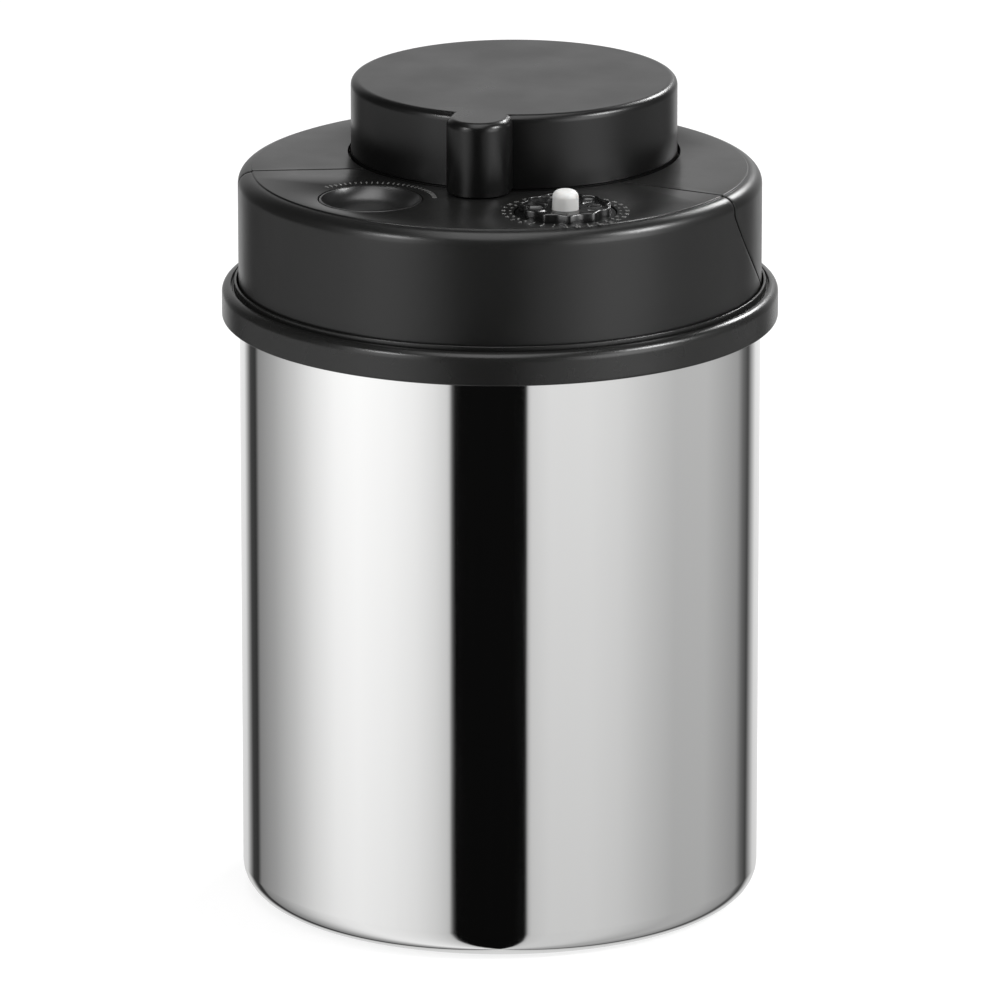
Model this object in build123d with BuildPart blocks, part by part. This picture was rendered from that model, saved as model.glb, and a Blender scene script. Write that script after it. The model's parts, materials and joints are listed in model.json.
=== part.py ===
from build123d import *
import math
import os

os.makedirs("parts", exist_ok=True)

# A vacuum seal canister. Millimetres, +Z up, and the front faces -Y.
# The origin is the middle of the base, on the surface that the canister stands on.

# Can: one deep drawn sheet of polished steel
can_radius = 62.5
can_wall = 0.8
can_corner = 6.5
can_height = 147.2
foot_width = 12.0
base_lift = 1.6

# Collar: the moulded ring on the rim, in which the lid sits
collar_width = 4.2
collar_drop = 4.0
collar_rise = 3.8
collar_fillet = 2.0
seat_height = 1.2
sleeve_wall = 2.1
sleeve_depth = 11.2
shoulder_land = 2.1
lip_width = 0.6
lip_rise = 1.0
groove_width = 0.9
groove_depth = 1.2

# Lid covers: a front and a rear shell that meet at a slanted seam
lid_gap = 0.4
lid_rise = 30.9
cover_lift = 0.5
cover_wall = 2.2
cover_plate = 2.0
cover_fillet = 4.2
cover_inner_fillet = 2.0
well_edge_fillet = 0.5
seam_angle = 74.0
seam_gap = 0.3
seam_drop = 4.8
seam_sweep = 25.5
seam_height = 24.0
seam_sagitta = 2.2

# Lid chassis: the plug that goes into the collar and carries the mechanism
plug_gap = 1.1
chassis_wall = 2.0
chassis_floor = 3.0
chassis_depth = 15.4
chassis_fillet = 1.0
flange_height = 2.0
flange_gap = 0.2
gasket_height = 1.5
gasket_lip = 0.8
gasket_lip_depth = 6.0

# Knob: the large drum on the lid, off centre towards the back, with a grip. The deck in
# front of it holds the button and the date wheel, and a narrow land is left behind it.
deck_depth = 39.95
rear_land = 6.95
knob_rise = 18.2
knob_sink = 5.8
knob_wall = 2.2
knob_fillet = 1.8
well_gap = 0.75
grip_half_width = 7.6
grip_overhang = 1.95
grip_lift = 0.2
knob_limit = 60.0

# Pump: a cylinder, a piston, and a barrel cam that turns the knob's swing into a stroke
cylinder_wall = 2.0
vent_radius = 2.0
vent_drop = 6.0
vent_count = 6
stroke = 10.0
piston_gap = 0.5
piston_play = 0.3
piston_height = 6.0
piston_web = 2.5
piston_rim = 3.2
ring_place = 2.0
ring_height = 2.5
ring_depth = 2.0
ring_fit = 0.06
rod_radius = 8.0
rod_bore = 5.5
rod_end = 3.0
pin_radius = 1.5
pin_drop = 7.0
pin_fit = 0.05
pin_shortfall = 0.8
slot_play = 0.4
slot_margin = 5.0
slot_step = 5.0
drum_gap = 0.5
drum_wall = 3.5
drum_overhang = 3.0
drum_flange_radius = 23.0
drum_flange_height = 2.5

# Bearing plate: the fixed floor of the knob's well, with the guide sleeve
plate_height = 2.5
plate_gap = 1.0
plate_rim = 1.5
plate_rim_gap = 0.5
running_gap = 0.3
hub_width = 3.2
hub_height = 1.5
shoulder_width = 4.0
shoulder_height = 2.5
guide_wall = 2.7
guide_depth = 15.5

# Retaining clip under the guide sleeve
clip_height = 1.0
clip_depth = 1.0
clip_width = 3.4
clip_mouth = 14.0

# Umbrella valves: intake in the chassis floor, exhaust in the piston
valve_radius = 6.0
valve_height = 0.9
valve_recess_gap = 1.0
valve_recess_depth = 1.2
valve_stem_radius = 1.6
valve_stem_fit = 0.05
valve_stem_end = 0.4
air_hole_radius = 0.8
air_hole_count = 4
exhaust_gap = 0.6

# Filter cap under the intake valve
filter_radius = 12.0
filter_wall = 1.5
filter_height = 4.0
filter_floor = 1.2
filter_hole_radius = 1.3
filter_hole_circle = 6.5
filter_hole_count = 8
filter_ring_gap = 0.2
filter_ring_width = 1.4
filter_ring_height = 1.6

# Screws
cover_screw_inset = 5.5
cover_screw_angles = (0.0, 60.0, 115.0, -115.0, -60.0)
screw_radius = 1.25
screw_clearance = 0.4
screw_end_gap = 1.0
cover_head_radius = 2.9
cover_head_height = 2.0
cover_screw_length = 18.0
post_radius = 3.8
boss_radius = 4.4
boss_height = 22.0
head_recess = 17.0
head_play = 0.2
plug_height = 2.0
small_head_radius = 2.6
small_head_height = 1.8
pump_screw_inset = 5.05
pump_screw_angle = 45.0
pump_screw_count = 4
pump_screw_length = 12.5
pump_boss_radius = 3.4
pump_boss_inset = 2.5
pump_boss_height = 20.0
knob_screw_circle = 19.0
knob_screw_angle = 90.0
knob_screw_count = 3
knob_screw_length = 8.0
knob_post_radius = 3.2
knob_post_height = 7.3

# Release button, its rod, seal and spring
button_angle = 33.1
button_margin = 2.67
button_radius = 12.3
button_gap = 0.2
button_height = 7.0
button_wall = 1.5
button_floor = 1.5
button_fillet = 0.4
dish_radius = 11.7
dish_floor_radius = 6.5
dish_depth = 3.0
button_hub_radius = 3.2
button_hub_height = 4.3
guide_collar_wall = 1.5
guide_collar_height = 7.8
release_rod_radius = 2.0
release_rod_gap = 0.6
release_rod_fit = 0.05
release_rod_cover = 1.0
release_post_wall = 2.8
release_post_height = 20.0
release_head_radius = 4.2
release_head_height = 1.2
release_seal_radius = 6.5
release_seal_height = 2.3
release_coil_radius = 4.5
release_wire = 0.5
release_turns = 7

# Date wheel round the vacuum indicator
dial_angle = 31.6
wheel_radius = 11.0
wheel_lobes = 11
wheel_notch_angle = -56.7
lobe_depth = 0.9
notch_radius = 2.4
lobe_fillet = 0.7
wheel_rise = 1.9
wheel_dish_rise = 0.9
wheel_dish_radius = 9.2
wheel_edge_fillet = 0.4
wheel_hub_wall = 1.2
wheel_hub_drop = 3.5
wheel_eye_gap = 0.45
pocket_margin = 0.8
pocket_radius = 12.2
pocket_depth = 4.1
pocket_wall = 1.8
pocket_floor = 1.5
wheel_clip_height = 1.0
wheel_clip_width = 2.1
wheel_clip_depth = 0.5

# Vacuum indicator: a soft peg that the vacuum draws down in its guide
peg_radius = 3.15
peg_rise = 5.3
peg_fillet = 1.4
peg_length = 24.6
peg_play = 0.25
indicator_wall = 1.5
indicator_top_drop = 0.3
indicator_hole = 1.0
peg_seal_place = 2.0
peg_seal_height = 1.2
peg_seal_depth = 0.75
peg_seal_fit = 0.04
indicator_coil_radius = 2.5
indicator_wire = 0.3
indicator_turns = 9
coil_end_gap = 0.1

# One overrun serves every cut that goes past a face
overrun = 1.0

# Radii that follow from the sizes above
can_inner = can_radius - can_wall
sleeve_radius = can_inner - sleeve_wall
collar_radius = can_radius + collar_width
shoulder_inner = collar_radius - shoulder_land
lip_radius = shoulder_inner - groove_width
recess_radius = lip_radius - lip_width
lid_radius = recess_radius - lid_gap
cover_inner = lid_radius - cover_wall
flange_radius = cover_inner - flange_gap
plug_radius = sleeve_radius - plug_gap
chassis_inner = plug_radius - chassis_wall
cover_screw_circle = plug_radius - cover_screw_inset
knob_radius = lid_radius - (deck_depth + rear_land) / 2
knob_offset = (deck_depth - rear_land) / 2
grip_reach = knob_radius + grip_overhang
pump_screw_circle = knob_radius - knob_wall - pump_screw_inset
cylinder_radius = pump_screw_circle - pump_boss_inset
bore_radius = cylinder_radius - cylinder_wall
well_radius = knob_radius + well_gap
rim_inner = well_radius + plate_rim_gap
rim_outer = rim_inner + plate_rim
drum_inner = rod_radius + drum_gap
drum_radius = drum_inner + drum_wall
hub_inner = drum_radius + running_gap
hub_outer = hub_inner + hub_width
guide_radius = hub_inner + guide_wall
slot_radius = pin_radius + slot_play
clearance_radius = screw_radius + screw_clearance
recess_hole_radius = cover_head_radius + head_play
guide_bore = peg_radius + peg_play
indicator_radius = guide_bore + indicator_wall
exhaust_radius = rod_bore - exhaust_gap
flat_radius = lid_radius - cover_fillet
button_circle = flat_radius - button_margin - button_gap - button_radius
dial_circle = flat_radius - pocket_margin - pocket_radius

# Heights that follow from the sizes above
seat_z = can_height + seat_height
collar_top = can_height + collar_rise
lip_top = collar_top + lip_rise
skirt_z = seat_z + cover_lift
lid_top = seat_z + lid_rise
plate_under = lid_top - cover_plate
gasket_top = seat_z + gasket_height
flange_top = gasket_top + flange_height
chassis_z = seat_z - chassis_depth
floor_top = chassis_z + chassis_floor
knob_top = lid_top + knob_rise
knob_z = lid_top - knob_sink
plate_top = knob_z - plate_gap
plate_z = plate_top - plate_height
cylinder_height = plate_z - floor_top
hub_top = plate_top + hub_height
guide_z = plate_z - guide_depth
knob_under = knob_top - knob_wall
drum_top = knob_under - knob_post_height
drum_z = guide_z - drum_overhang
pin_z = plate_z - pin_drop
piston_z = floor_top + piston_gap + stroke / 2
boss_top = floor_top + boss_height
button_under = lid_top - dish_depth - button_floor
release_post_top = floor_top + release_post_height
seal_z = chassis_z - release_seal_height
pocket_z = lid_top - pocket_depth
wheel_z = pocket_z + running_gap
peg_z = lid_top + peg_rise - peg_length
guide_top = lid_top - indicator_top_drop

# Planes that pieces stand on
base = Plane.XY
knob_plane = Plane((0, knob_offset, 0))
button_turn = math.radians(button_angle)
dial_turn = math.radians(dial_angle)
button_plane = Plane((-button_circle * math.sin(button_turn), -button_circle * math.cos(button_turn), 0))
dial_plane = Plane((dial_circle * math.sin(dial_turn), -dial_circle * math.cos(dial_turn), 0))


def side_plane(plane):
    """A plane through the plane's origin, X to the right and Z up, to draw a profile on."""
    return Plane(plane.origin, x_dir=(1, 0, 0), z_dir=(0, -1, 0))


def axis_of(plane):
    """The vertical axis through the plane's origin."""
    return Axis(plane.origin, (0, 0, 1))


def disc(plane, z, height, radius, hole=0, mode=Mode.ADD):
    """A disc, or a tube where a hole is given, standing on the plane at height z."""
    with BuildSketch(plane.offset(z)) as outline:
        Circle(radius)
        if hole:
            Circle(hole, mode=Mode.SUBTRACT)
    return extrude(outline.sketch, amount=height, mode=mode)


def ring_of_discs(plane, z, height, radius, circle, count, start=0, mode=Mode.ADD):
    """Equal discs on a circle round the plane's origin."""
    with BuildSketch(plane.offset(z)) as outline:
        with PolarLocations(circle, count, start_angle=start):
            Circle(radius)
    return extrude(outline.sketch, amount=height, mode=mode)


def discs_at(angles, z, height, radius, mode=Mode.ADD):
    """Discs on the cover screws' circle, at angles counted from the front."""
    with BuildSketch(base.offset(z)) as outline:
        for angle in angles:
            with PolarLocations(cover_screw_circle, 1, start_angle=angle - 90):
                Circle(radius)
    return extrude(outline.sketch, amount=height, mode=mode)


def save(piece, name):
    """Label a finished piece and write its file."""
    piece.part.label = name
    export_step(piece.part, "parts/" + name + ".step")
    print(name, round(piece.part.volume), "mm3", len(piece.part.solids()), "solids")


# Steel can: a drawn sheet with a stamped base, open at the top
slope_share = math.tan(math.radians(22.5))
foot_inner = can_radius - foot_width
with BuildPart() as steel_body:
    with BuildSketch(Plane.XZ) as can_outside:
        with BuildLine():
            Polyline(
                (0, base_lift),
                (foot_inner, base_lift),
                (foot_inner + base_lift, 0),
                (can_radius, 0),
                (can_radius, can_height),
                (0, can_height),
                close=True,
            )
        make_face()
        corner = can_outside.vertices().group_by(Axis.X)[-1].sort_by(Axis.Y)[0]
        fillet(corner, can_corner)
    revolve(axis=Axis.Z)
    with BuildSketch(Plane.XZ) as can_inside:
        with BuildLine():
            Polyline(
                (0, base_lift + can_wall),
                (foot_inner + can_wall * slope_share, base_lift + can_wall),
                (foot_inner + base_lift + can_wall * slope_share, can_wall),
                (can_inner, can_wall),
                (can_inner, can_height + overrun),
                (0, can_height + overrun),
                close=True,
            )
        make_face()
        corner = can_inside.vertices().group_by(Axis.X)[-1].sort_by(Axis.Y)[0]
        fillet(corner, can_corner - can_wall)
    revolve(axis=Axis.Z, mode=Mode.SUBTRACT)
save(steel_body, "steel_body")

# Collar: wraps the can's rim, with a sleeve inside, the lid's seat and a shoulder outside
with BuildPart() as collar_ring:
    with BuildSketch(Plane.XZ) as collar_section:
        with BuildLine():
            Polyline(
                (sleeve_radius, can_height - sleeve_depth),
                (can_inner, can_height - sleeve_depth),
                (can_inner, can_height),
                (can_radius, can_height),
                (can_radius, can_height - collar_drop),
                (collar_radius, can_height - collar_drop),
                (collar_radius, collar_top),
                (shoulder_inner, collar_top),
                (shoulder_inner, collar_top - groove_depth),
                (lip_radius, collar_top - groove_depth),
                (lip_radius, lip_top),
                (recess_radius, lip_top),
                (recess_radius, seat_z),
                (sleeve_radius, seat_z),
                close=True,
            )
        make_face()
        corner = collar_section.vertices().group_by(Axis.X)[-1].sort_by(Axis.Y)[-1]
        fillet(corner, collar_fillet)
    revolve(axis=Axis.Z)
save(collar_ring, "collar_ring")

# Lid gasket: sits on the collar's seat, with a lip that wipes down the sleeve
with BuildPart() as lid_gasket:
    with BuildSketch(Plane.XZ):
        with BuildLine():
            Polyline(
                (plug_radius, seat_z - gasket_lip_depth),
                (plug_radius + gasket_lip, seat_z - gasket_lip_depth),
                (plug_radius + gasket_lip, seat_z),
                (flange_radius, seat_z),
                (flange_radius, gasket_top),
                (plug_radius, gasket_top),
                close=True,
            )
        make_face()
    revolve(axis=Axis.Z)
save(lid_gasket, "lid_gasket")

# Lid chassis: a plug shaped cup with a flange, screw bosses, and holes for air and rods
with BuildPart() as lid_chassis:
    with BuildSketch(Plane.XZ) as cup_outside:
        with BuildLine():
            Polyline(
                (0, chassis_z),
                (plug_radius, chassis_z),
                (plug_radius, gasket_top),
                (flange_radius, gasket_top),
                (flange_radius, flange_top),
                (0, flange_top),
                close=True,
            )
        make_face()
        corner = cup_outside.vertices().group_by(Axis.Y)[0].sort_by(Axis.X)[-1]
        fillet(corner, chassis_fillet)
    revolve(axis=Axis.Z)
    disc(base, floor_top, flange_top - floor_top + overrun, chassis_inner, mode=Mode.SUBTRACT)
    discs_at(cover_screw_angles, floor_top, boss_height, boss_radius)
    disc(button_plane, floor_top, release_post_height, release_rod_radius + release_post_wall)
    disc(
        knob_plane,
        chassis_z - filter_ring_height,
        filter_ring_height,
        filter_radius - filter_wall - filter_ring_gap,
        filter_radius - filter_wall - filter_ring_gap - filter_ring_width,
    )
    discs_at(
        cover_screw_angles,
        chassis_z - overrun,
        head_recess + overrun,
        recess_hole_radius,
        mode=Mode.SUBTRACT,
    )
    discs_at(
        cover_screw_angles,
        chassis_z,
        boss_top - chassis_z + overrun,
        clearance_radius,
        mode=Mode.SUBTRACT,
    )
    disc(
        button_plane,
        chassis_z - overrun,
        release_post_top - chassis_z + 2 * overrun,
        release_rod_radius + release_rod_gap,
        mode=Mode.SUBTRACT,
    )
    disc(
        dial_plane,
        chassis_z - overrun,
        chassis_floor + 2 * overrun,
        indicator_hole,
        mode=Mode.SUBTRACT,
    )
    disc(
        knob_plane,
        floor_top - valve_recess_depth,
        valve_recess_depth + overrun,
        valve_radius + valve_recess_gap,
        mode=Mode.SUBTRACT,
    )
    disc(
        knob_plane,
        chassis_z - overrun,
        chassis_floor + overrun,
        valve_stem_radius + valve_stem_fit,
        mode=Mode.SUBTRACT,
    )
    ring_of_discs(
        knob_plane,
        chassis_z - overrun,
        chassis_floor + overrun,
        air_hole_radius,
        (valve_stem_radius + valve_radius) / 2,
        air_hole_count,
        mode=Mode.SUBTRACT,
    )
save(lid_chassis, "lid_chassis")


def front_side(back):
    """The space in front of the seam, moved back by a gap for the other shell."""
    across = math.radians(seam_angle)
    normal = (math.sin(across), -math.cos(across), 0)
    backward = (math.cos(across), math.sin(across), 0)
    seam_plane = Plane((0, 0, 0), x_dir=backward, z_dir=normal)
    seam_top = lid_top - seam_drop
    seam_end = seam_top - seam_height
    slope_share = seam_sweep / seam_height
    foot = seam_end - skirt_z + overrun
    with BuildPart() as side:
        with BuildSketch(seam_plane):
            with BuildLine():
                Line((back, lid_top + overrun), (back, seam_top))
                SagittaArc((back, seam_top), (back + seam_sweep, seam_end), -seam_sagitta)
                Polyline(
                    (back + seam_sweep, seam_end),
                    (back + seam_sweep + foot * slope_share, seam_end - foot),
                    (-2 * collar_radius, seam_end - foot),
                    (-2 * collar_radius, lid_top + overrun),
                    (back, lid_top + overrun),
                )
            make_face()
        extrude(amount=2 * collar_radius, both=True)
        mirror(about=Plane.YZ, mode=Mode.INTERSECT)
    return side.part


# Whole cover shell, before it is parted at the seam
with BuildPart() as cover_shell:
    with BuildSketch(Plane.XZ) as cover_section:
        with BuildLine():
            Polyline(
                (0, plate_under),
                (cover_inner, plate_under),
                (cover_inner, skirt_z),
                (lid_radius, skirt_z),
                (lid_radius, lid_top),
                (0, lid_top),
                close=True,
            )
        make_face()
        outer_corner = cover_section.vertices().group_by(Axis.X)[-1].sort_by(Axis.Y)[-1]
        fillet(outer_corner, cover_fillet)
        inner_corner = cover_section.vertices().filter_by_position(
            Axis.X, cover_inner, cover_inner
        )
        fillet(inner_corner.sort_by(Axis.Y)[-1], cover_inner_fillet)
    revolve(axis=Axis.Z)
    disc(knob_plane, plate_under - overrun, cover_plate + 2 * overrun, well_radius, mode=Mode.SUBTRACT)
    well_edge = cover_shell.edges().filter_by(GeomType.CIRCLE).group_by(Axis.Z)[-1]
    fillet(well_edge.sort_by(SortBy.RADIUS)[0], well_edge_fillet)

# Front cover: screw posts, the button's guide and the date wheel's pocket
front_angles = [angle for angle in cover_screw_angles if abs(angle) < seam_angle]
rear_angles = [angle for angle in cover_screw_angles if abs(angle) > seam_angle]
pilot_depth = cover_screw_length - (boss_top - chassis_z - head_recess) + screw_end_gap
with BuildPart() as lid_front_cover:
    add(cover_shell.part)
    add(front_side(0), mode=Mode.INTERSECT)
    discs_at(front_angles, boss_top, plate_under - boss_top, post_radius)
    discs_at(front_angles, boss_top, pilot_depth, screw_radius, mode=Mode.SUBTRACT)
    disc(
        button_plane,
        plate_under - guide_collar_height,
        guide_collar_height,
        button_radius + button_gap + guide_collar_wall,
    )
    disc(
        button_plane,
        plate_under - guide_collar_height - overrun,
        guide_collar_height + cover_plate + 2 * overrun,
        button_radius + button_gap,
        mode=Mode.SUBTRACT,
    )
    disc(
        dial_plane,
        pocket_z - pocket_floor,
        plate_under - pocket_z + pocket_floor,
        pocket_radius + pocket_wall,
    )
    disc(dial_plane, pocket_z, pocket_depth + overrun, pocket_radius, mode=Mode.SUBTRACT)
    disc(
        dial_plane,
        pocket_z - pocket_floor - overrun,
        pocket_floor + 2 * overrun,
        indicator_radius + running_gap + wheel_hub_wall + running_gap,
        mode=Mode.SUBTRACT,
    )
save(lid_front_cover, "lid_front_cover")

# Rear cover: the rest of the shell, with its own screw posts
with BuildPart() as lid_rear_cover:
    add(cover_shell.part)
    add(front_side(seam_gap), mode=Mode.SUBTRACT)
    discs_at(rear_angles, boss_top, plate_under - boss_top, post_radius)
    discs_at(rear_angles, boss_top, pilot_depth, screw_radius, mode=Mode.SUBTRACT)
save(lid_rear_cover, "lid_rear_cover")

# Cover screws: driven up from the chassis into the covers' posts
with BuildPart() as cover_screws:
    discs_at(
        cover_screw_angles,
        chassis_z + head_recess - cover_head_height,
        cover_head_height,
        cover_head_radius,
    )
    discs_at(cover_screw_angles, chassis_z + head_recess, cover_screw_length, screw_radius)
save(cover_screws, "cover_screws")

# Screw plugs: soft stoppers that seal the screw recesses from the store below
with BuildPart() as screw_plugs:
    discs_at(cover_screw_angles, chassis_z, plug_height, recess_hole_radius)
save(screw_plugs, "screw_plugs")

# Pump cylinder: stands on the chassis floor, with vents and screw bosses at its top
with BuildPart() as pump_cylinder:
    disc(knob_plane, floor_top, cylinder_height, cylinder_radius)
    ring_of_discs(
        knob_plane,
        plate_z - pump_boss_height,
        pump_boss_height,
        pump_boss_radius,
        pump_screw_circle,
        pump_screw_count,
        start=pump_screw_angle,
    )
    disc(
        knob_plane,
        floor_top - overrun,
        cylinder_height + 2 * overrun,
        bore_radius,
        mode=Mode.SUBTRACT,
    )
    ring_of_discs(
        knob_plane,
        plate_z - pump_screw_length - screw_end_gap,
        pump_screw_length + screw_end_gap + overrun,
        screw_radius,
        pump_screw_circle,
        pump_screw_count,
        start=pump_screw_angle,
        mode=Mode.SUBTRACT,
    )
    for index in range(vent_count // 2):
        turn = math.radians(360 / vent_count * index)
        outward = (math.cos(turn), math.sin(turn), 0)
        with BuildSketch(Plane((0, knob_offset, plate_z - vent_drop), z_dir=outward)):
            Circle(vent_radius)
        extrude(amount=cylinder_radius + overrun, both=True, mode=Mode.SUBTRACT)
save(pump_cylinder, "pump_cylinder")

# Bearing plate: floor and rim of the well, a hub for the cam drum, and the guide sleeve
pin_plane = Plane((0, knob_offset, pin_z), x_dir=(0, 1, 0), z_dir=(1, 0, 0))
with BuildPart() as bearing_plate:
    disc(knob_plane, plate_z, plate_height, rim_outer)
    disc(knob_plane, plate_top, plate_under - plate_top, rim_outer, rim_inner)
    disc(knob_plane, plate_top, hub_height, hub_outer)
    disc(knob_plane, guide_z, guide_depth, guide_radius)
    disc(
        knob_plane,
        guide_z - overrun,
        hub_top - guide_z + 2 * overrun,
        hub_inner,
        mode=Mode.SUBTRACT,
    )
    with BuildSketch(pin_plane):
        with Locations((0, stroke / 2)):
            Circle(slot_radius)
        with Locations((0, (stroke / 2 + guide_z - overrun - pin_z) / 2)):
            Rectangle(2 * slot_radius, stroke / 2 - guide_z + overrun + pin_z)
    extrude(amount=guide_radius + overrun, both=True, mode=Mode.SUBTRACT)
    ring_of_discs(
        knob_plane,
        plate_z - overrun,
        plate_height + 2 * overrun,
        clearance_radius,
        pump_screw_circle,
        pump_screw_count,
        start=pump_screw_angle,
        mode=Mode.SUBTRACT,
    )
save(bearing_plate, "bearing_plate")

# Pump screws: hold the bearing plate down on the cylinder's bosses
with BuildPart() as pump_screws:
    ring_of_discs(
        knob_plane,
        plate_top,
        small_head_height,
        small_head_radius,
        pump_screw_circle,
        pump_screw_count,
        start=pump_screw_angle,
    )
    ring_of_discs(
        knob_plane,
        plate_top - pump_screw_length,
        pump_screw_length,
        screw_radius,
        pump_screw_circle,
        pump_screw_count,
        start=pump_screw_angle,
    )
save(pump_screws, "pump_screws")

# Knob cap: a hollow drum with a round ended grip at the front and posts for the drum
with BuildPart() as knob_cap:
    disc(knob_plane, knob_z, knob_top - knob_z, knob_radius)
    with BuildSketch(knob_plane.offset(lid_top + grip_lift)):
        with Locations((0, -grip_reach)):
            Circle(grip_half_width)
        with Locations((0, -grip_reach / 2)):
            Rectangle(2 * grip_half_width, grip_reach)
    extrude(amount=knob_rise - grip_lift)
    fillet(knob_cap.edges().group_by(Axis.Z)[-1], knob_fillet)
    disc(
        knob_plane,
        knob_z - overrun,
        knob_under - knob_z + overrun,
        knob_radius - knob_wall,
        mode=Mode.SUBTRACT,
    )
    with BuildSketch(knob_plane.offset(lid_top + grip_lift - overrun)):
        with Locations((0, -grip_reach)):
            Circle(grip_half_width - knob_wall)
        Circle(knob_radius, mode=Mode.SUBTRACT)
    extrude(amount=knob_rise - grip_lift - knob_wall + overrun, mode=Mode.SUBTRACT)
    ring_of_discs(
        knob_plane,
        drum_top,
        knob_post_height,
        knob_post_radius,
        knob_screw_circle,
        knob_screw_count,
        start=knob_screw_angle,
    )
    ring_of_discs(
        knob_plane,
        drum_top,
        knob_screw_length - drum_flange_height + screw_end_gap,
        screw_radius,
        knob_screw_circle,
        knob_screw_count,
        start=knob_screw_angle,
        mode=Mode.SUBTRACT,
    )
save(knob_cap, "knob_cap")

# Cam drum: the knob's hollow shaft, with two helical slots that drive the pin
lift_per_degree = stroke / 2 / knob_limit
with BuildPart() as cam_drum:
    disc(knob_plane, drum_z, drum_top - drum_z, drum_radius)
    disc(knob_plane, drum_top - drum_flange_height, drum_flange_height, drum_flange_radius)
    disc(knob_plane, hub_top + running_gap, shoulder_height, drum_radius + shoulder_width)
    disc(
        knob_plane,
        drum_z - overrun,
        drum_top - drum_z + 2 * overrun,
        drum_inner,
        mode=Mode.SUBTRACT,
    )
    disc(
        knob_plane,
        guide_z - running_gap - clip_height,
        clip_height,
        drum_radius + overrun,
        drum_radius - clip_depth,
        mode=Mode.SUBTRACT,
    )
    ring_of_discs(
        knob_plane,
        drum_top - drum_flange_height - overrun,
        drum_flange_height + 2 * overrun,
        clearance_radius,
        knob_screw_circle,
        knob_screw_count,
        start=knob_screw_angle,
        mode=Mode.SUBTRACT,
    )
    slot_swing = knob_limit + slot_margin / 2
    slot_steps = round(2 * slot_swing / slot_step)
    for index in range(slot_steps + 1):
        swing = -slot_swing + 2 * slot_swing * index / slot_steps
        turn = math.radians(-swing)
        height = pin_z + lift_per_degree * swing
        outward = (math.cos(turn), math.sin(turn), 0)
        with BuildSketch(Plane((0, knob_offset, height), z_dir=outward)):
            Circle(slot_radius)
        extrude(amount=drum_radius + overrun, both=True, mode=Mode.SUBTRACT)
save(cam_drum, "cam_drum")

# Knob screws: hold the cam drum's flange to the knob's posts
with BuildPart() as knob_screws:
    ring_of_discs(
        knob_plane,
        drum_top - drum_flange_height - small_head_height,
        small_head_height,
        small_head_radius,
        knob_screw_circle,
        knob_screw_count,
        start=knob_screw_angle,
    )
    ring_of_discs(
        knob_plane,
        drum_top - drum_flange_height,
        knob_screw_length,
        screw_radius,
        knob_screw_circle,
        knob_screw_count,
        start=knob_screw_angle,
    )
save(knob_screws, "knob_screws")

# Retaining clip: an open ring in the drum's groove, under the guide sleeve
clip_outer = drum_radius - clip_depth + clip_width
with BuildPart() as retaining_clip:
    disc(
        knob_plane,
        guide_z - running_gap - clip_height,
        clip_height,
        clip_outer,
        drum_radius - clip_depth,
    )
    with BuildSketch(knob_plane.offset(guide_z - running_gap - clip_height)):
        with Locations((0, clip_outer / 2)):
            Rectangle(clip_mouth, clip_outer)
    extrude(amount=clip_height, mode=Mode.SUBTRACT)
save(retaining_clip, "retaining_clip")

# Piston: a dished disc with a ring groove, a hollow rod and a valve seat
piston_radius = bore_radius - piston_play
with BuildPart() as pump_piston:
    disc(knob_plane, piston_z, piston_height, piston_radius)
    disc(
        knob_plane,
        piston_z + piston_web,
        piston_height - piston_web + overrun,
        piston_radius - piston_rim,
        mode=Mode.SUBTRACT,
    )
    disc(
        knob_plane,
        piston_z + ring_place,
        ring_height,
        piston_radius + overrun,
        piston_radius - ring_depth,
        mode=Mode.SUBTRACT,
    )
    disc(knob_plane, piston_z + piston_web, pin_z + rod_end - piston_z - piston_web, rod_radius)
    disc(
        knob_plane,
        piston_z + piston_web,
        pin_z + rod_end - piston_z - piston_web + overrun,
        rod_bore,
        mode=Mode.SUBTRACT,
    )
    with BuildSketch(pin_plane):
        Circle(pin_radius + pin_fit)
    extrude(amount=rod_radius + overrun, both=True, mode=Mode.SUBTRACT)
    disc(
        knob_plane,
        piston_z - overrun,
        piston_web + 2 * overrun,
        valve_stem_radius + valve_stem_fit,
        mode=Mode.SUBTRACT,
    )
    ring_of_discs(
        knob_plane,
        piston_z - overrun,
        piston_web + 2 * overrun,
        air_hole_radius,
        (valve_stem_radius + exhaust_radius) / 2,
        air_hole_count,
        mode=Mode.SUBTRACT,
    )
save(pump_piston, "pump_piston")

# Piston ring: seals the piston in the bore
with BuildPart() as piston_ring:
    disc(
        knob_plane,
        piston_z + ring_place,
        ring_height,
        bore_radius - ring_fit,
        piston_radius - ring_depth,
    )
save(piston_ring, "piston_ring")

# Follower pin: goes through the rod and both slots of the drum and the sleeve
with BuildPart() as follower_pin:
    with BuildSketch(pin_plane):
        Circle(pin_radius)
    extrude(amount=guide_radius - pin_shortfall, both=True)
save(follower_pin, "follower_pin")

# Exhaust valve: an umbrella over the piston's air holes, inside the hollow rod
with BuildPart() as exhaust_valve:
    disc(knob_plane, piston_z + piston_web, valve_height, exhaust_radius)
    disc(
        knob_plane,
        piston_z + valve_stem_end,
        piston_web - valve_stem_end,
        valve_stem_radius,
    )
save(exhaust_valve, "exhaust_valve")

# Intake valve: an umbrella over the chassis floor's air holes
with BuildPart() as intake_valve:
    disc(knob_plane, floor_top - valve_recess_depth, valve_height, valve_radius)
    disc(
        knob_plane,
        chassis_z - valve_stem_end,
        chassis_floor - valve_recess_depth + valve_stem_end,
        valve_stem_radius,
    )
save(intake_valve, "intake_valve")

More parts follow.
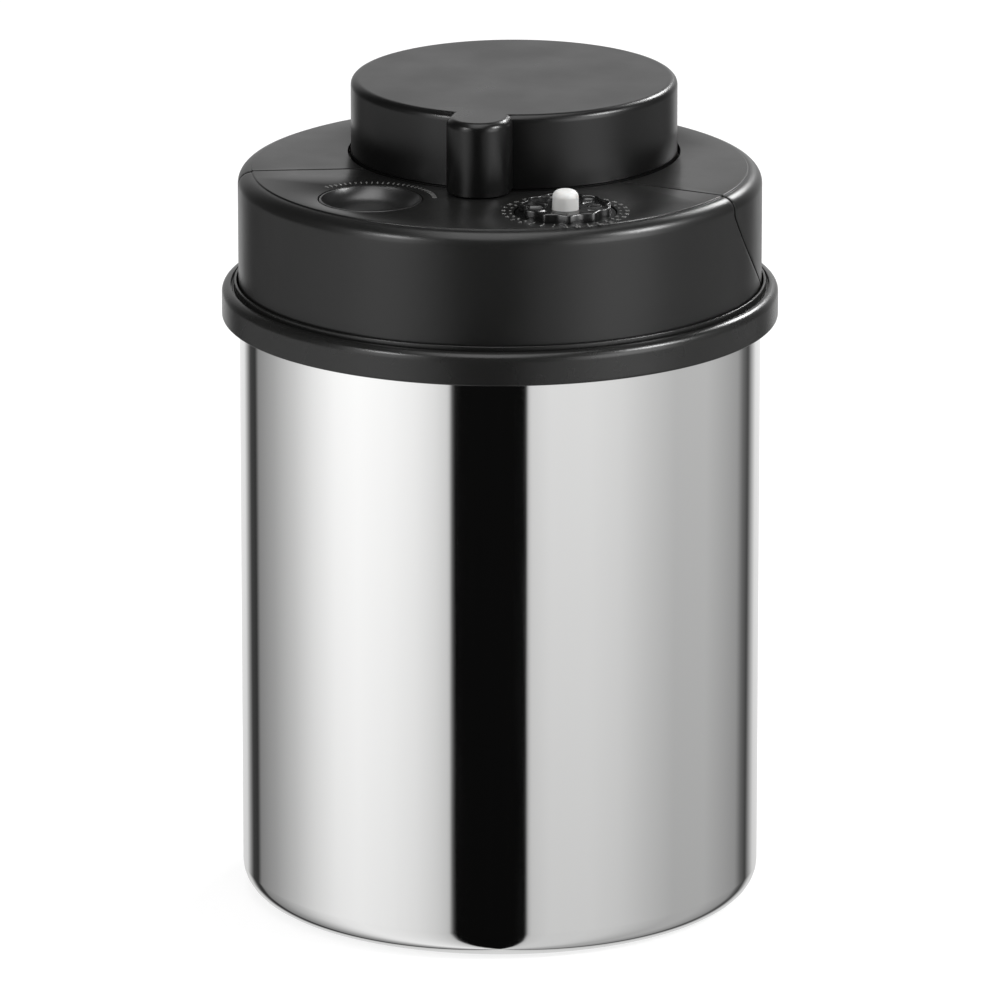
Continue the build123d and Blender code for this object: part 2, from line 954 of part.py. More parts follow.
# Filter cap: keeps grounds out of the intake, pushed over the ring under the floor
with BuildPart() as filter_cap:
    disc(knob_plane, chassis_z - filter_height, filter_height, filter_radius)
    disc(
        knob_plane,
        chassis_z - filter_height + filter_floor,
        filter_height - filter_floor + overrun,
        filter_radius - filter_wall,
        mode=Mode.SUBTRACT,
    )
    ring_of_discs(
        knob_plane,
        chassis_z - filter_height - overrun,
        filter_floor + 2 * overrun,
        filter_hole_radius,
        filter_hole_circle,
        filter_hole_count,
        mode=Mode.SUBTRACT,
    )
save(filter_cap, "filter_cap")

# Release button: a round cap with a finger dish, flush with the lid
with BuildPart() as release_button:
    disc(button_plane, lid_top - button_height, button_height, button_radius)
    fillet(release_button.edges().group_by(Axis.Z)[-1], button_fillet)
    disc(
        button_plane,
        lid_top - button_height - overrun,
        button_under - lid_top + button_height + overrun,
        button_radius - button_wall,
        mode=Mode.SUBTRACT,
    )
    disc(button_plane, button_under - button_hub_height, button_hub_height, button_hub_radius)
    disc(
        button_plane,
        button_under - button_hub_height - overrun,
        button_hub_height - release_rod_cover + overrun,
        release_rod_radius + release_rod_fit,
        mode=Mode.SUBTRACT,
    )
    with BuildSketch(side_plane(button_plane)):
        with BuildLine():
            Line((0, lid_top - dish_depth), (dish_floor_radius, lid_top - dish_depth))
            TangentArc(
                (dish_floor_radius, lid_top - dish_depth),
                (dish_radius, lid_top),
                tangent=(1, 0),
            )
            Polyline((dish_radius, lid_top), (0, lid_top), (0, lid_top - dish_depth))
        make_face()
    revolve(axis=axis_of(button_plane), mode=Mode.SUBTRACT)
save(release_button, "release_button")

# Release rod: goes from the button down through the floor, with a head under the seal
with BuildPart() as release_rod:
    disc(
        button_plane,
        seal_z - release_head_height,
        release_head_height,
        release_head_radius,
    )
    disc(
        button_plane,
        seal_z,
        button_under - release_rod_cover - seal_z,
        release_rod_radius,
    )
save(release_rod, "release_rod")

# Release seal: closes the vent hole from below until the button is pressed
with BuildPart() as release_seal:
    disc(
        button_plane,
        seal_z,
        release_seal_height,
        release_seal_radius,
        release_rod_radius + release_rod_fit,
    )
save(release_seal, "release_seal")


def coil(plane, z, height, radius, wire, turns):
    """A helix of round wire round the plane's axis; its least gap is pitch less wire."""
    rise = height - 2 * wire - 2 * coil_end_gap
    print("coil gap", round(rise / turns - 2 * wire, 2), "mm")
    with BuildPart() as spring:
        start = z + wire + coil_end_gap
        with BuildLine() as path:
            Helix(rise / turns, rise, radius, center=(plane.origin.X, plane.origin.Y, start))
        with BuildSketch(Plane(path.line @ 0, z_dir=path.line % 0)):
            Circle(wire)
        sweep(path=path.line, is_frenet=True)
    return spring


# Release spring: between the chassis post and the button
release_spring = coil(
    button_plane,
    release_post_top,
    button_under - release_post_top,
    release_coil_radius,
    release_wire,
    release_turns,
)
save(release_spring, "release_spring")

# Date wheel: a scalloped dial on a hub that turns in the front cover's pocket
wheel_bore = indicator_radius + running_gap
wheel_hub = wheel_bore + wheel_hub_wall
with BuildPart() as date_wheel:
    disc(
        dial_plane,
        wheel_z,
        lid_top - running_gap - wheel_z,
        pocket_radius - running_gap,
    )
    with BuildSketch(dial_plane.offset(lid_top - running_gap)) as wheel_outline:
        Circle(wheel_radius)
        notch_circle = wheel_radius + notch_radius - lobe_depth
        with PolarLocations(notch_circle, wheel_lobes, wheel_notch_angle):
            Circle(notch_radius, mode=Mode.SUBTRACT)
        fillet(wheel_outline.vertices(), lobe_fillet)
    extrude(amount=wheel_rise + running_gap)
    fillet(date_wheel.edges().group_by(Axis.Z)[-1], wheel_edge_fillet)
    disc(
        dial_plane,
        lid_top + wheel_dish_rise,
        wheel_rise - wheel_dish_rise + overrun,
        wheel_dish_radius,
        mode=Mode.SUBTRACT,
    )
    disc(dial_plane, wheel_z - wheel_hub_drop, wheel_hub_drop, wheel_hub)
    disc(
        dial_plane,
        wheel_z - wheel_hub_drop - overrun,
        guide_top + running_gap - wheel_z + wheel_hub_drop + overrun,
        wheel_bore,
        mode=Mode.SUBTRACT,
    )
    disc(
        dial_plane,
        guide_top,
        wheel_rise + overrun,
        peg_radius + wheel_eye_gap,
        mode=Mode.SUBTRACT,
    )
    disc(
        dial_plane,
        pocket_z - pocket_floor - running_gap - wheel_clip_height,
        wheel_clip_height,
        wheel_hub + overrun,
        wheel_hub - wheel_clip_depth,
        mode=Mode.SUBTRACT,
    )
save(date_wheel, "date_wheel")

# Wheel clip: keeps the date wheel in its pocket
with BuildPart() as wheel_clip:
    disc(
        dial_plane,
        pocket_z - pocket_floor - running_gap - wheel_clip_height,
        wheel_clip_height,
        wheel_hub - wheel_clip_depth + wheel_clip_width,
        wheel_hub - wheel_clip_depth,
    )
save(wheel_clip, "wheel_clip")

# Indicator guide: a tube on the chassis floor, open to the store through a small hole
with BuildPart() as indicator_guide:
    disc(dial_plane, floor_top, guide_top - floor_top, indicator_radius, guide_bore)
save(indicator_guide, "indicator_guide")

# Indicator peg: round topped, with a groove for its seal
with BuildPart() as indicator_peg:
    disc(dial_plane, peg_z, peg_length, peg_radius)
    fillet(indicator_peg.edges().group_by(Axis.Z)[-1], peg_fillet)
    disc(
        dial_plane,
        peg_z + peg_seal_place,
        peg_seal_height,
        peg_radius + overrun,
        peg_radius - peg_seal_depth,
        mode=Mode.SUBTRACT,
    )
save(indicator_peg, "indicator_peg")

# Indicator seal: a small ring in the peg's groove
with BuildPart() as indicator_seal:
    disc(
        dial_plane,
        peg_z + peg_seal_place,
        peg_seal_height,
        guide_bore - peg_seal_fit,
        peg_radius - peg_seal_depth,
    )
save(indicator_seal, "indicator_seal")

# Indicator spring: lifts the peg when the vacuum is gone
indicator_spring = coil(
    dial_plane,
    floor_top,
    peg_z - floor_top,
    indicator_coil_radius,
    indicator_wire,
    indicator_turns,
)
save(indicator_spring, "indicator_spring")
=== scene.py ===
# %% [markdown]
# A vacuum seal canister: a polished steel can, a black collar on its rim, and a black lid
# that holds a pump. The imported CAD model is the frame. It gives every size and place, and
# each visible piece is drawn again here as a smooth surface with its real finish.

# %% Load the frame
import json
import math

import bmesh
import bpy
import numpy as np
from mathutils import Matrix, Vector

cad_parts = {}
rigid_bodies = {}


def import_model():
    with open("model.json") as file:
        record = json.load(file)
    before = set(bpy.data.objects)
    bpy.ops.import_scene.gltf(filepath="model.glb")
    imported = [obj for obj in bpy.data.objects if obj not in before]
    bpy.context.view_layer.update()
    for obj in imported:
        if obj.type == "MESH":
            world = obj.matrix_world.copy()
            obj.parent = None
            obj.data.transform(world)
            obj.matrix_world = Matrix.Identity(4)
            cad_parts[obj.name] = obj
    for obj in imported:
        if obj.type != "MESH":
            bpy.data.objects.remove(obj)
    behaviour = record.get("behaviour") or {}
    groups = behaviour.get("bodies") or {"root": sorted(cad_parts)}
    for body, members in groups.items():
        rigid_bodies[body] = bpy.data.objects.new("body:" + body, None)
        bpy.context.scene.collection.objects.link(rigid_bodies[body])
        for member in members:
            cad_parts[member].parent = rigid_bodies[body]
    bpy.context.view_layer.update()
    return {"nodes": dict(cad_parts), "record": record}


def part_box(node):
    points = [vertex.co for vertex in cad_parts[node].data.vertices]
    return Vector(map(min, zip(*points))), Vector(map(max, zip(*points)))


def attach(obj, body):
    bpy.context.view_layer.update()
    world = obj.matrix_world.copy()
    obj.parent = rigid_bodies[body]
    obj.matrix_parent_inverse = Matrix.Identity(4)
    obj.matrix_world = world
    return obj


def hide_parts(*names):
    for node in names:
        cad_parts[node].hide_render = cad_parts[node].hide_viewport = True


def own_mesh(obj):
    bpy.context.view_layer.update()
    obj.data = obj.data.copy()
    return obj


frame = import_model()

# %% [markdown]
# Sizes are read from the frame's boxes wherever a box says them, in metres. What a box can't
# say, such as a wall or a rounding, is a named value in the unit mm.

# %% Sizes and places
mm = 0.001


def middle(node):
    """The middle of a node's box, seen from above."""
    low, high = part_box(node)
    return np.array([(low.x + high.x) / 2, (low.y + high.y) / 2])


def half_width(node):
    """Half of a node's width, which is the radius of a round piece."""
    low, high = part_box(node)
    return (high.x - low.x) / 2


can_radius = half_width("steel_body")
can_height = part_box("steel_body")[1].z
collar_radius = half_width("collar_ring")
collar_low, lip_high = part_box("collar_ring")[0].z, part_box("collar_ring")[1].z
lid_radius = half_width("lid_rear_cover")
skirt_z, lid_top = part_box("lid_rear_cover")[0].z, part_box("lid_rear_cover")[1].z
knob_radius = half_width("knob_cap")
knob_z, knob_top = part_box("knob_cap")[0].z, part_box("knob_cap")[1].z
knob_place = middle("cam_drum")
button_place = middle("release_button")
button_radius = half_width("release_button")
dial_place = middle("date_wheel")
flange_radius = half_width("date_wheel")
wheel_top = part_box("date_wheel")[1].z
peg_radius = half_width("indicator_peg")
peg_low, peg_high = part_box("indicator_peg")[0].z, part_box("indicator_peg")[1].z
axis_place = np.array([0.0, 0.0])
print("lid top at", round(lid_top / mm, 1), "knob at", (knob_place / mm).round(2))

# %% [markdown]
# Almost every piece of a canister is turned: its section, spun round an axis, is the piece.
# A spin tool would do it, but a formula gives even rings, and lets a section be rounded
# exactly where a mould would be. First a helper that rounds a section's corners.

# %% Sections with rounded corners
arc_steps = 7
support = 0.25 * mm
large_columns = 360
collar_columns = 256
button_columns = 160
small_columns = 96
post_columns = 32


def rounded(corners, closed=False):
    """A section through corners (radius, height, rounding).

    A rounded corner is an arc that touches both its sides: it starts and ends at a distance
    rounding / tan(half the corner's angle) from the corner, and turns at an even rate. A short
    step is added before and after each arc, so that the flat beside it shades flat.
    """
    points = []
    count = len(corners)
    for index, (r, z, rounding) in enumerate(corners):
        here = np.array([r, z])
        ends = not closed and index in (0, count - 1)
        if ends or rounding == 0:
            points.append(here)
            continue
        before = np.array(corners[index - 1][:2]) - here
        after = np.array(corners[(index + 1) % count][:2]) - here
        reach_before, reach_after = np.linalg.norm(before), np.linalg.norm(after)
        before, after = before / reach_before, after / reach_after
        half = math.acos(np.clip(before @ after, -1, 1)) / 2
        distance = rounding / math.tan(half)
        bisector = (before + after) / np.linalg.norm(before + after)
        centre = here + bisector * rounding / math.sin(half)
        start, end = here + before * distance, here + after * distance
        if reach_before > distance + 2 * support:
            points.append(start + before * support)
        turn = np.linspace(0, 1, arc_steps + 1)[:, None]
        first, last = start - centre, end - centre
        swing = math.pi - 2 * half
        weight_first = np.sin((1 - turn) * swing) / math.sin(swing)
        weight_last = np.sin(turn * swing) / math.sin(swing)
        points.extend(centre + weight_first * first + weight_last * last)
        if reach_after > distance + 2 * support:
            points.append(end + after * support)
    return np.array(points)


def spun(section, place, segments, closed=True):
    """A grid of points: the section spun round the upright axis through place.

    x = place x + radius times cos(turn), y = place y + radius times sin(turn), z = height.
    """
    turn = np.linspace(0, 2 * math.pi, segments + 1)
    if closed:
        section = np.vstack([section, section[:1]])
    r, z = section[:, 0], section[:, 1]
    grid = np.empty((len(turn), len(r), 3))
    grid[..., 0] = place[0] + np.cos(turn)[:, None] * r
    grid[..., 1] = place[1] + np.sin(turn)[:, None] * r
    grid[..., 2] = z
    return grid


# %% [markdown]
# A grid becomes a mesh by joining each point to its neighbours. Points that fall together, at
# a pole or where a spin meets itself, are merged, and the faces are turned outwards. Edges
# sharper than a limit stay sharp, so that a rim is crisp and a rounding is smooth.

# %% From grids to a piece
merge_distance = 1e-7
sharp_limit = math.radians(34)


def quads(rows, columns, first):
    """Indices of the four corners of each cell of a grid whose points start at first."""
    corner = first + (np.arange(rows - 1)[:, None] * columns + np.arange(columns - 1)).ravel()
    return np.stack([corner, corner + columns, corner + columns + 1, corner + 1], axis=1)


def new_piece(name, grids, body, replaced=(), triangles=None):
    """One object made of one or more grids, and of loose triangles if they are given."""
    points, faces, first = [], [], 0
    for grid in grids:
        rows, columns = grid.shape[:2]
        points.append(grid.reshape(-1, 3))
        faces.extend(quads(rows, columns, first).tolist())
        first += rows * columns
    if triangles is not None:
        points.append(triangles[0])
        faces.extend((triangles[1] + first).tolist())
    mesh = bpy.data.meshes.new(name)
    mesh.from_pydata(np.vstack(points).tolist(), [], faces)
    work = bmesh.new()
    work.from_mesh(mesh)
    bmesh.ops.remove_doubles(work, verts=work.verts, dist=merge_distance)
    bmesh.ops.recalc_face_normals(work, faces=work.faces)
    work.to_mesh(mesh)
    work.free()
    mesh.shade_smooth()
    mesh.set_sharp_from_angle(angle=sharp_limit)
    piece = bpy.data.objects.new(name, mesh)
    bpy.context.scene.collection.objects.link(piece)
    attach(piece, body)
    if replaced:
        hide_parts(*replaced)
    print(name, len(mesh.polygons), "faces")
    return piece


# %% [markdown]
# The can is drawn from one sheet, so it has one wall all over, a rounded bottom corner, and a
# stamped floor that stands a little off the table on a ring shaped foot.

# %% The can
can_wall = 0.8 * mm
can_corner = 6.5 * mm
foot_width = 12.0 * mm
base_lift = 1.6 * mm
stamp_rounding = 1.0 * mm
foot_radius = can_radius - foot_width
can_section = rounded(
    [
        (0, base_lift, 0),
        (foot_radius, base_lift, stamp_rounding),
        (foot_radius + base_lift, 0, stamp_rounding),
        (can_radius, 0, can_corner),
        (can_radius, can_height, 0),
        (can_radius - can_wall, can_height, 0),
        (can_radius - can_wall, can_wall, can_corner - can_wall),
        (foot_radius + base_lift, can_wall, stamp_rounding),
        (foot_radius, base_lift + can_wall, stamp_rounding),
        (0, base_lift + can_wall, 0),
    ]
)
can_grid = spun(can_section, axis_place, large_columns, closed=False)
new_piece("can", [can_grid], "canister", ["steel_body"])

# %% [markdown]
# The collar is moulded round the rim. Outside it has a rounded shoulder, then a groove and a
# thin lip that stands a little higher and hides the joint. Inside, a flat seat takes the
# lid's gasket and a sleeve guides the lid's plug.

# %% The collar
collar_drop = 4.0 * mm
collar_rounding = 2.0 * mm
small_rounding = 0.25 * mm
edge_rounding = 0.5 * mm
shoulder_land = 2.1 * mm
groove_width = 0.9 * mm
groove_depth = 1.2 * mm
lip_width = 0.6 * mm
lip_rise = 1.0 * mm
lip_rounding = 0.2 * mm
seat_height = 1.2 * mm
sleeve_wall = 2.1 * mm
shoulder_radius = collar_radius - shoulder_land
lip_radius = shoulder_radius - groove_width
collar_high = lip_high - lip_rise
can_inner = can_radius - can_wall
seat_z = can_height + seat_height
collar_section = rounded(
    [
        (can_inner - sleeve_wall, collar_low, small_rounding),
        (can_inner, collar_low, 0),
        (can_inner, can_height, 0),
        (can_radius, can_height, 0),
        (can_radius, can_height - collar_drop, 0),
        (collar_radius, can_height - collar_drop, edge_rounding),
        (collar_radius, collar_high, collar_rounding),
        (shoulder_radius, collar_high, 0),
        (shoulder_radius, collar_high - groove_depth, small_rounding),
        (lip_radius, collar_high - groove_depth, small_rounding),
        (lip_radius, lip_high, lip_rounding),
        (lip_radius - lip_width, lip_high, lip_rounding),
        (lip_radius - lip_width, seat_z, small_rounding),
        (can_inner - sleeve_wall, seat_z, small_rounding),
    ],
    closed=True,
)
collar_grid = spun(collar_section, axis_place, collar_columns)
new_piece("collar", [collar_grid], "canister", ["collar_ring"])

# %% [markdown]
# The lid's cover is two shells. They part along two radial lines on the top, and down the side
# along a line that leans back in a gentle arc. Each shell is a sheet whose left and right
# edges are that seam, so the edge is exact, and a Solidify modifier gives it its wall.

# %% The seam
seam_angle = math.radians(74.0)
seam_gap = 0.62 * mm
seam_drop = 4.8 * mm
seam_sweep = 25.5 * mm
seam_height = 24.0 * mm
seam_sagitta = 2.2 * mm


def seam_offset(z):
    """How far behind the radial line the seam runs at height z, along the tangent.

    It is 0 at the top, follows an arc through two ends with a given sagitta, and goes on
    below the arc at the slope of its chord. The arc's centre lies on the chord's normal.
    """
    top = lid_top - seam_drop
    chord = math.hypot(seam_sweep, seam_height)
    radius = chord**2 / (8 * seam_sagitta) + seam_sagitta / 2
    reach = radius - seam_sagitta
    centre_offset = seam_sweep / 2 + reach * seam_height / chord
    centre_z = top - seam_height / 2 + reach * seam_sweep / chord
    on_arc = centre_offset - np.sqrt(np.maximum(radius**2 - (z - centre_z) ** 2, 0))
    below = seam_sweep + (top - seam_height - z) * seam_sweep / seam_height
    return np.where(z > top, 0, np.where(z > top - seam_height, on_arc, below))


def seam_turn(r, z, gap):
    """The seam's angle from the front, at radius r and height z, moved back by a gap."""
    return seam_angle + np.arcsin((seam_offset(z) + gap) / r)


# %% [markdown]
# The top of each shell is flat, with round holes. It is filled inside its outline by a
# constrained triangulation, and the skirt is a grid that starts on that same outline.

# %% The two shells of the cover
cover_wall = 2.2 * mm
well_gap = 0.75 * mm
step_radius = 59.35 * mm
step_drop = 0.32 * mm
step_rounding = 0.25 * mm
button_gap = 0.2 * mm
pocket_gap = 0.3 * mm
hole_step = 1.2 * mm
shell_bevel = 0.15 * mm
bevel_limit = math.radians(50)
step_points = 5
skirt_rows = 30
skirt_columns = 160
well_radius = knob_radius + well_gap
cover_rounding = lid_radius - step_radius
arc_z = lid_top - step_drop - cover_rounding


def edge_section():
    """The lid's edge: a fine step down from the flat top, then a large arc to the side.

    Both are quarter circles, so radius = centre + rounding times sin(lean) and height =
    centre + rounding times cos(lean), with the lean going from 0 to 90 degrees.
    """
    small = np.linspace(0, math.pi / 2, step_points)
    large = np.linspace(0, math.pi / 2, 3 * arc_steps)
    small_r = step_radius - step_rounding * (1 - np.sin(small))
    small_z = lid_top - step_rounding * (1 - np.cos(small))
    large_r = step_radius + cover_rounding * np.sin(large)
    large_z = arc_z + cover_rounding * np.cos(large)
    return np.concatenate([small_r, large_r]), np.concatenate([small_z, large_z])


def skirt(front):
    """The rounding and the side of one shell as a grid of (angle, height).

    The rows follow the section: first the rounded edge, then the straight side. In each row
    the angle runs evenly from one seam to the other, so the grid's ends are the seam itself.
    """
    r, z = edge_section()
    low = np.linspace(arc_z, skirt_z, skirt_rows)[1:]
    r = np.concatenate([r, np.full(len(low), lid_radius)])
    z = np.concatenate([z, low])
    edge = seam_turn(r, z, 0 if front else seam_gap)
    start, end = (-edge, edge) if front else (edge, 2 * math.pi - edge)
    share = np.linspace(0, 1, skirt_columns + 1)[:, None]
    turn = start + share * (end - start)
    grid = np.empty(turn.shape + (3,))
    grid[..., 0] = r * np.sin(turn)
    grid[..., 1] = -r * np.cos(turn)
    grid[..., 2] = z
    return grid


def circle(place, radius, start=0.0, end=2 * math.pi, whole=True):
    """Points round a circle, from start to end, angles counted from the front."""
    steps = max(8, round(radius * abs(end - start) / hole_step))
    turn = np.linspace(start, end, steps + 1)
    if whole:
        turn = turn[:-1]
    return np.stack([place[0] + radius * np.sin(turn), place[1] - radius * np.cos(turn)], axis=1)


def flat_top(outline, holes):
    """Triangles that fill an outline, less its holes, at the lid's height.

    The points of each loop are joined in a ring, each one to the one before it.
    """
    points, edges, first = [], [], 0
    for loop in [outline] + holes:
        ring = first + np.arange(len(loop))
        points.append(np.column_stack([loop, np.full(len(loop), lid_top)]))
        edges.append(np.column_stack([np.roll(ring, 1), ring]))
        first += len(loop)
    sheet = bpy.data.meshes.new("sheet")
    sheet.from_pydata(np.vstack(points).tolist(), np.vstack(edges).tolist(), [])
    work = bmesh.new()
    work.from_mesh(sheet)
    bmesh.ops.triangle_fill(work, use_beauty=True, use_dissolve=False, edges=work.edges[:])
    work.to_mesh(sheet)
    work.free()
    co = np.empty(len(sheet.vertices) * 3)
    sheet.vertices.foreach_get("co", co)
    corners = np.empty(len(sheet.loops), dtype=np.int32)
    sheet.loops.foreach_get("vertex_index", corners)
    bpy.data.meshes.remove(sheet)
    return co.reshape(-1, 3), corners.reshape(-1, 3)


def seam_meets_well(gap):
    """Where the seam's line on the top meets the well: its angle from the front, at the well.

    A point at distance s along the line is on the well's circle when its distance from the
    knob's axis is the well's radius, which is a quadratic in s.
    """
    along = np.array([math.sin(seam_angle), -math.cos(seam_angle)])
    across = np.array([math.cos(seam_angle), math.sin(seam_angle)])
    start = across * gap - knob_place
    half_b = along @ start
    s = -half_b + math.sqrt(half_b**2 - start @ start + well_radius**2)
    point = start + along * s
    return math.atan2(point[0], -point[1])


def shell(name, node, front):
    """One shell: flat top, rounding and skirt, given a wall and fine rounded edges."""
    side = skirt(front)
    rim = side[:, 0, :2]
    meeting = seam_meets_well(0 if front else seam_gap)
    if front:
        well = circle(knob_place, well_radius, meeting, -meeting, whole=False)
        holes = [
            circle(button_place, button_radius + button_gap),
            circle(dial_place, flange_radius + pocket_gap),
        ]
    else:
        well = circle(knob_place, well_radius, 2 * math.pi - meeting, meeting, whole=False)
        holes = []
    outline = np.vstack([rim, well])
    piece = new_piece(name, [side], "lid", [node], flat_top(outline, holes))
    wall = piece.modifiers.new("wall", "SOLIDIFY")
    wall.thickness = cover_wall
    wall.offset = -1
    wall.use_even_offset = True
    edges = piece.modifiers.new("edges", "BEVEL")
    edges.width = shell_bevel
    edges.segments = 2
    edges.limit_method = "ANGLE"
    edges.angle_limit = bevel_limit


shell("front_shell", "lid_front_cover", True)
shell("rear_shell", "lid_rear_cover", False)

# %% [markdown]
# Under the shells hang the moulded details that the shell's sheet doesn't have: the pocket of
# the date wheel, the button's guide, and the posts that the screws go into. They are turned
# sections again, each round its own axis, and each closed by itself.

# %% Fittings under the covers
cover_plate = 2.0 * mm
pocket_depth = 4.1 * mm
pocket_wall = 1.8 * mm
pocket_floor = 1.5 * mm
pocket_hole = 6.7 * mm
guide_wall = 1.5 * mm
guide_height = 7.8 * mm
post_radius = 3.8 * mm
post_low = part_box("lid_chassis")[0].z + 25.0 * mm
flange_margin = 1.8 * mm
screw_inset = 5.5 * mm
screw_hole = 1.25 * mm
front_screws = (0, 60, -60)
rear_screws = (115, -115)
plate_under = lid_top - cover_plate
overlap = 0.1 * mm


def tube(place, inner, outer, low, high, segments=small_columns):
    """A plain tube with fine rounded edges, as a turned section."""
    section = rounded(
        [(inner, low, 0), (outer, low, small_rounding), (outer, high, 0), (inner, high, 0)],
        closed=True,
    )
    return spun(section, place, segments)


def posts(angles):
    """Screw posts at angles from the front, on the screws' circle."""
    circle_radius = half_width("lid_chassis") - flange_margin - screw_inset
    grids = []
    for angle in np.radians(angles):
        place = circle_radius * np.array([math.sin(angle), -math.cos(angle)])
        grids.append(tube(place, screw_hole, post_radius, post_low, plate_under, post_columns))
    return grids


pocket_radius = flange_radius + pocket_gap
pocket_section = rounded(
    [
        (pocket_hole, lid_top - pocket_depth, 0),
        (pocket_radius, lid_top - pocket_depth, 0),
        (pocket_radius, plate_under, 0),
        (pocket_radius + pocket_wall, plate_under, 0),
        (pocket_radius + pocket_wall, lid_top - pocket_depth - pocket_floor, small_rounding),
        (pocket_hole, lid_top - pocket_depth - pocket_floor, 0),
    ],
    closed=True,
)
guide_radius = button_radius + button_gap
guide_low = plate_under - guide_height
pocket_grid = spun(pocket_section, dial_place, small_columns)
guide_grid = tube(button_place, guide_radius, guide_radius + guide_wall, guide_low, plate_under)
front_grids = [pocket_grid, guide_grid] + posts(front_screws)
new_piece("front_fittings", front_grids, "lid")
new_piece("rear_fittings", posts(rear_screws), "lid")

# %% [markdown]
# The knob is a drum whose top is one flat with the grip's. Its plan is a circle joined to a
# round ended finger. The same plan, drawn smaller, is also the edge of the flat top inside
# the rounding, because a circle, two straight sides and a round end all shrink alike. So the
# knob is one grid: columns run round the plan, and rows go from the top down to the rim.

# %% The knob
knob_wall = 2.2 * mm
knob_rounding = 1.8 * mm
grip_half_width = 7.6 * mm
grip_reach = knob_radius + 1.95 * mm
grip_lift = 0.2 * mm
drum_columns = 220
side_columns = 10
end_columns = 36
top_shares = (0.25, 0.5, 0.75, 0.93)


def plan(inset, grip=True):
    """The knob's outline, drawn inwards by an inset: drum, side, round end, side.

    The drum's arc meets a side where x is the half width: at asin(half width / radius) from
    the front. Without the grip, the grip's columns lie on the drum's own arc instead.
    """
    radius = knob_radius - inset
    width = grip_half_width - inset
    corner = math.asin(width / radius)
    turn = np.linspace(corner, 2 * math.pi - corner, drum_columns)
    drum = np.stack([radius * np.sin(turn), -radius * np.cos(turn)], axis=1)
    if grip:
        down = np.linspace(0, 1, side_columns + 1)[1:-1]
        shoulder = radius * math.cos(corner)
        depth = shoulder + (grip_reach - shoulder) * down
        left = np.stack([np.full(len(down), -width), -depth], axis=1)
        end_turn = np.linspace(-math.pi / 2, math.pi / 2, end_columns)
        end = np.stack([width * np.sin(end_turn), -grip_reach - width * np.cos(end_turn)], axis=1)
        right = (left * [-1, 1])[::-1]
        finger = np.vstack([left, end, right])
    else:
        count = 2 * (side_columns - 1) + end_columns
        turn = np.linspace(-corner, corner, count + 2)[1:-1]
        finger = np.stack([radius * np.sin(turn), -radius * np.cos(turn)], axis=1)
    outline = np.vstack([drum, finger, drum[:1]])
    return outline + knob_place


def knob_grid():
    """All rows of the knob: top, rounding, wall, underside of the grip, rim and inside."""
    arc = np.linspace(0, math.pi / 2, arc_steps + 1)
    centre = np.repeat(knob_place[None], len(plan(0)), axis=0)
    flat = plan(knob_rounding)
    rows = [(centre, knob_top)]
    for share in top_shares:
        rows.append((knob_place + (flat - knob_place) * share, knob_top))
    rows.append((plan(knob_rounding + support), knob_top))
    for angle in arc:
        inset = knob_rounding * (1 - math.sin(angle))
        rows.append((plan(inset), knob_top - knob_rounding * (1 - math.cos(angle))))
    grip_low = lid_top + grip_lift
    start, end = knob_top - knob_rounding - support, grip_low + small_rounding
    for share in (0, 0.5, 1):
        rows.append((plan(0), start + (end - start) * share))
    rows.append((plan(small_rounding), grip_low))
    rows.append((plan(0, grip=False), grip_low))
    rows.append((plan(0, grip=False), knob_z + edge_rounding))
    rows.append((plan(edge_rounding, grip=False), knob_z))
    rows.append((plan(knob_wall, grip=False), knob_z))
    rows.append((plan(knob_wall, grip=False), knob_top - knob_wall))
    rows.append((centre, knob_top - knob_wall))
    grid = np.empty((len(rows), len(centre), 3))
    for index, (outline, height) in enumerate(rows):
        grid[index, :, :2] = outline
        grid[index, :, 2] = height
    return grid


drum_screw_circle = 19.0 * mm
drum_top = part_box("cam_drum")[1].z
knob_post_radius = 3.2 * mm
knob_post_angles = (90, 210, 330)
knob_posts = [
    tube(
        knob_place + drum_screw_circle * np.array([math.cos(turn), math.sin(turn)]),
        screw_hole,
        knob_post_radius,
        drum_top,
        knob_top - knob_wall,
        post_columns,
    )
    for turn in np.radians(knob_post_angles)
]
new_piece("knob", [knob_grid()] + knob_posts, "knob", ["knob_cap"])

# %% [markdown]
# The release button is turned too. Its dish has a flat floor and a wall that curves up from
# it, tangent to the floor, so a fingertip finds it without looking.

# %% The release button
dish_radius = 11.7 * mm
dish_floor = 6.5 * mm
dish_depth = 3.0 * mm
button_floor = 1.5 * mm
button_wall = 1.5 * mm
button_height = 7.0 * mm
button_rounding = 0.4 * mm
hub_radius = 3.2 * mm
hub_height = 4.3 * mm
rod_hole = 2.05 * mm
rod_cover = 1.0 * mm
dish_steps = 12


def dish():
    """The dish's wall: an arc that leaves the floor level and reaches the rim.

    Its radius is (run squared + rise squared) / (2 rise), and its centre is above the floor's
    edge.
    """
    run, rise = dish_radius - dish_floor, dish_depth
    radius = (run**2 + rise**2) / (2 * rise)
    turn = np.linspace(0, math.asin(run / radius), dish_steps + 1)
    heights = lid_top - dish_depth + radius * (1 - np.cos(turn))
    return np.stack([dish_floor + radius * np.sin(turn), heights], axis=1)


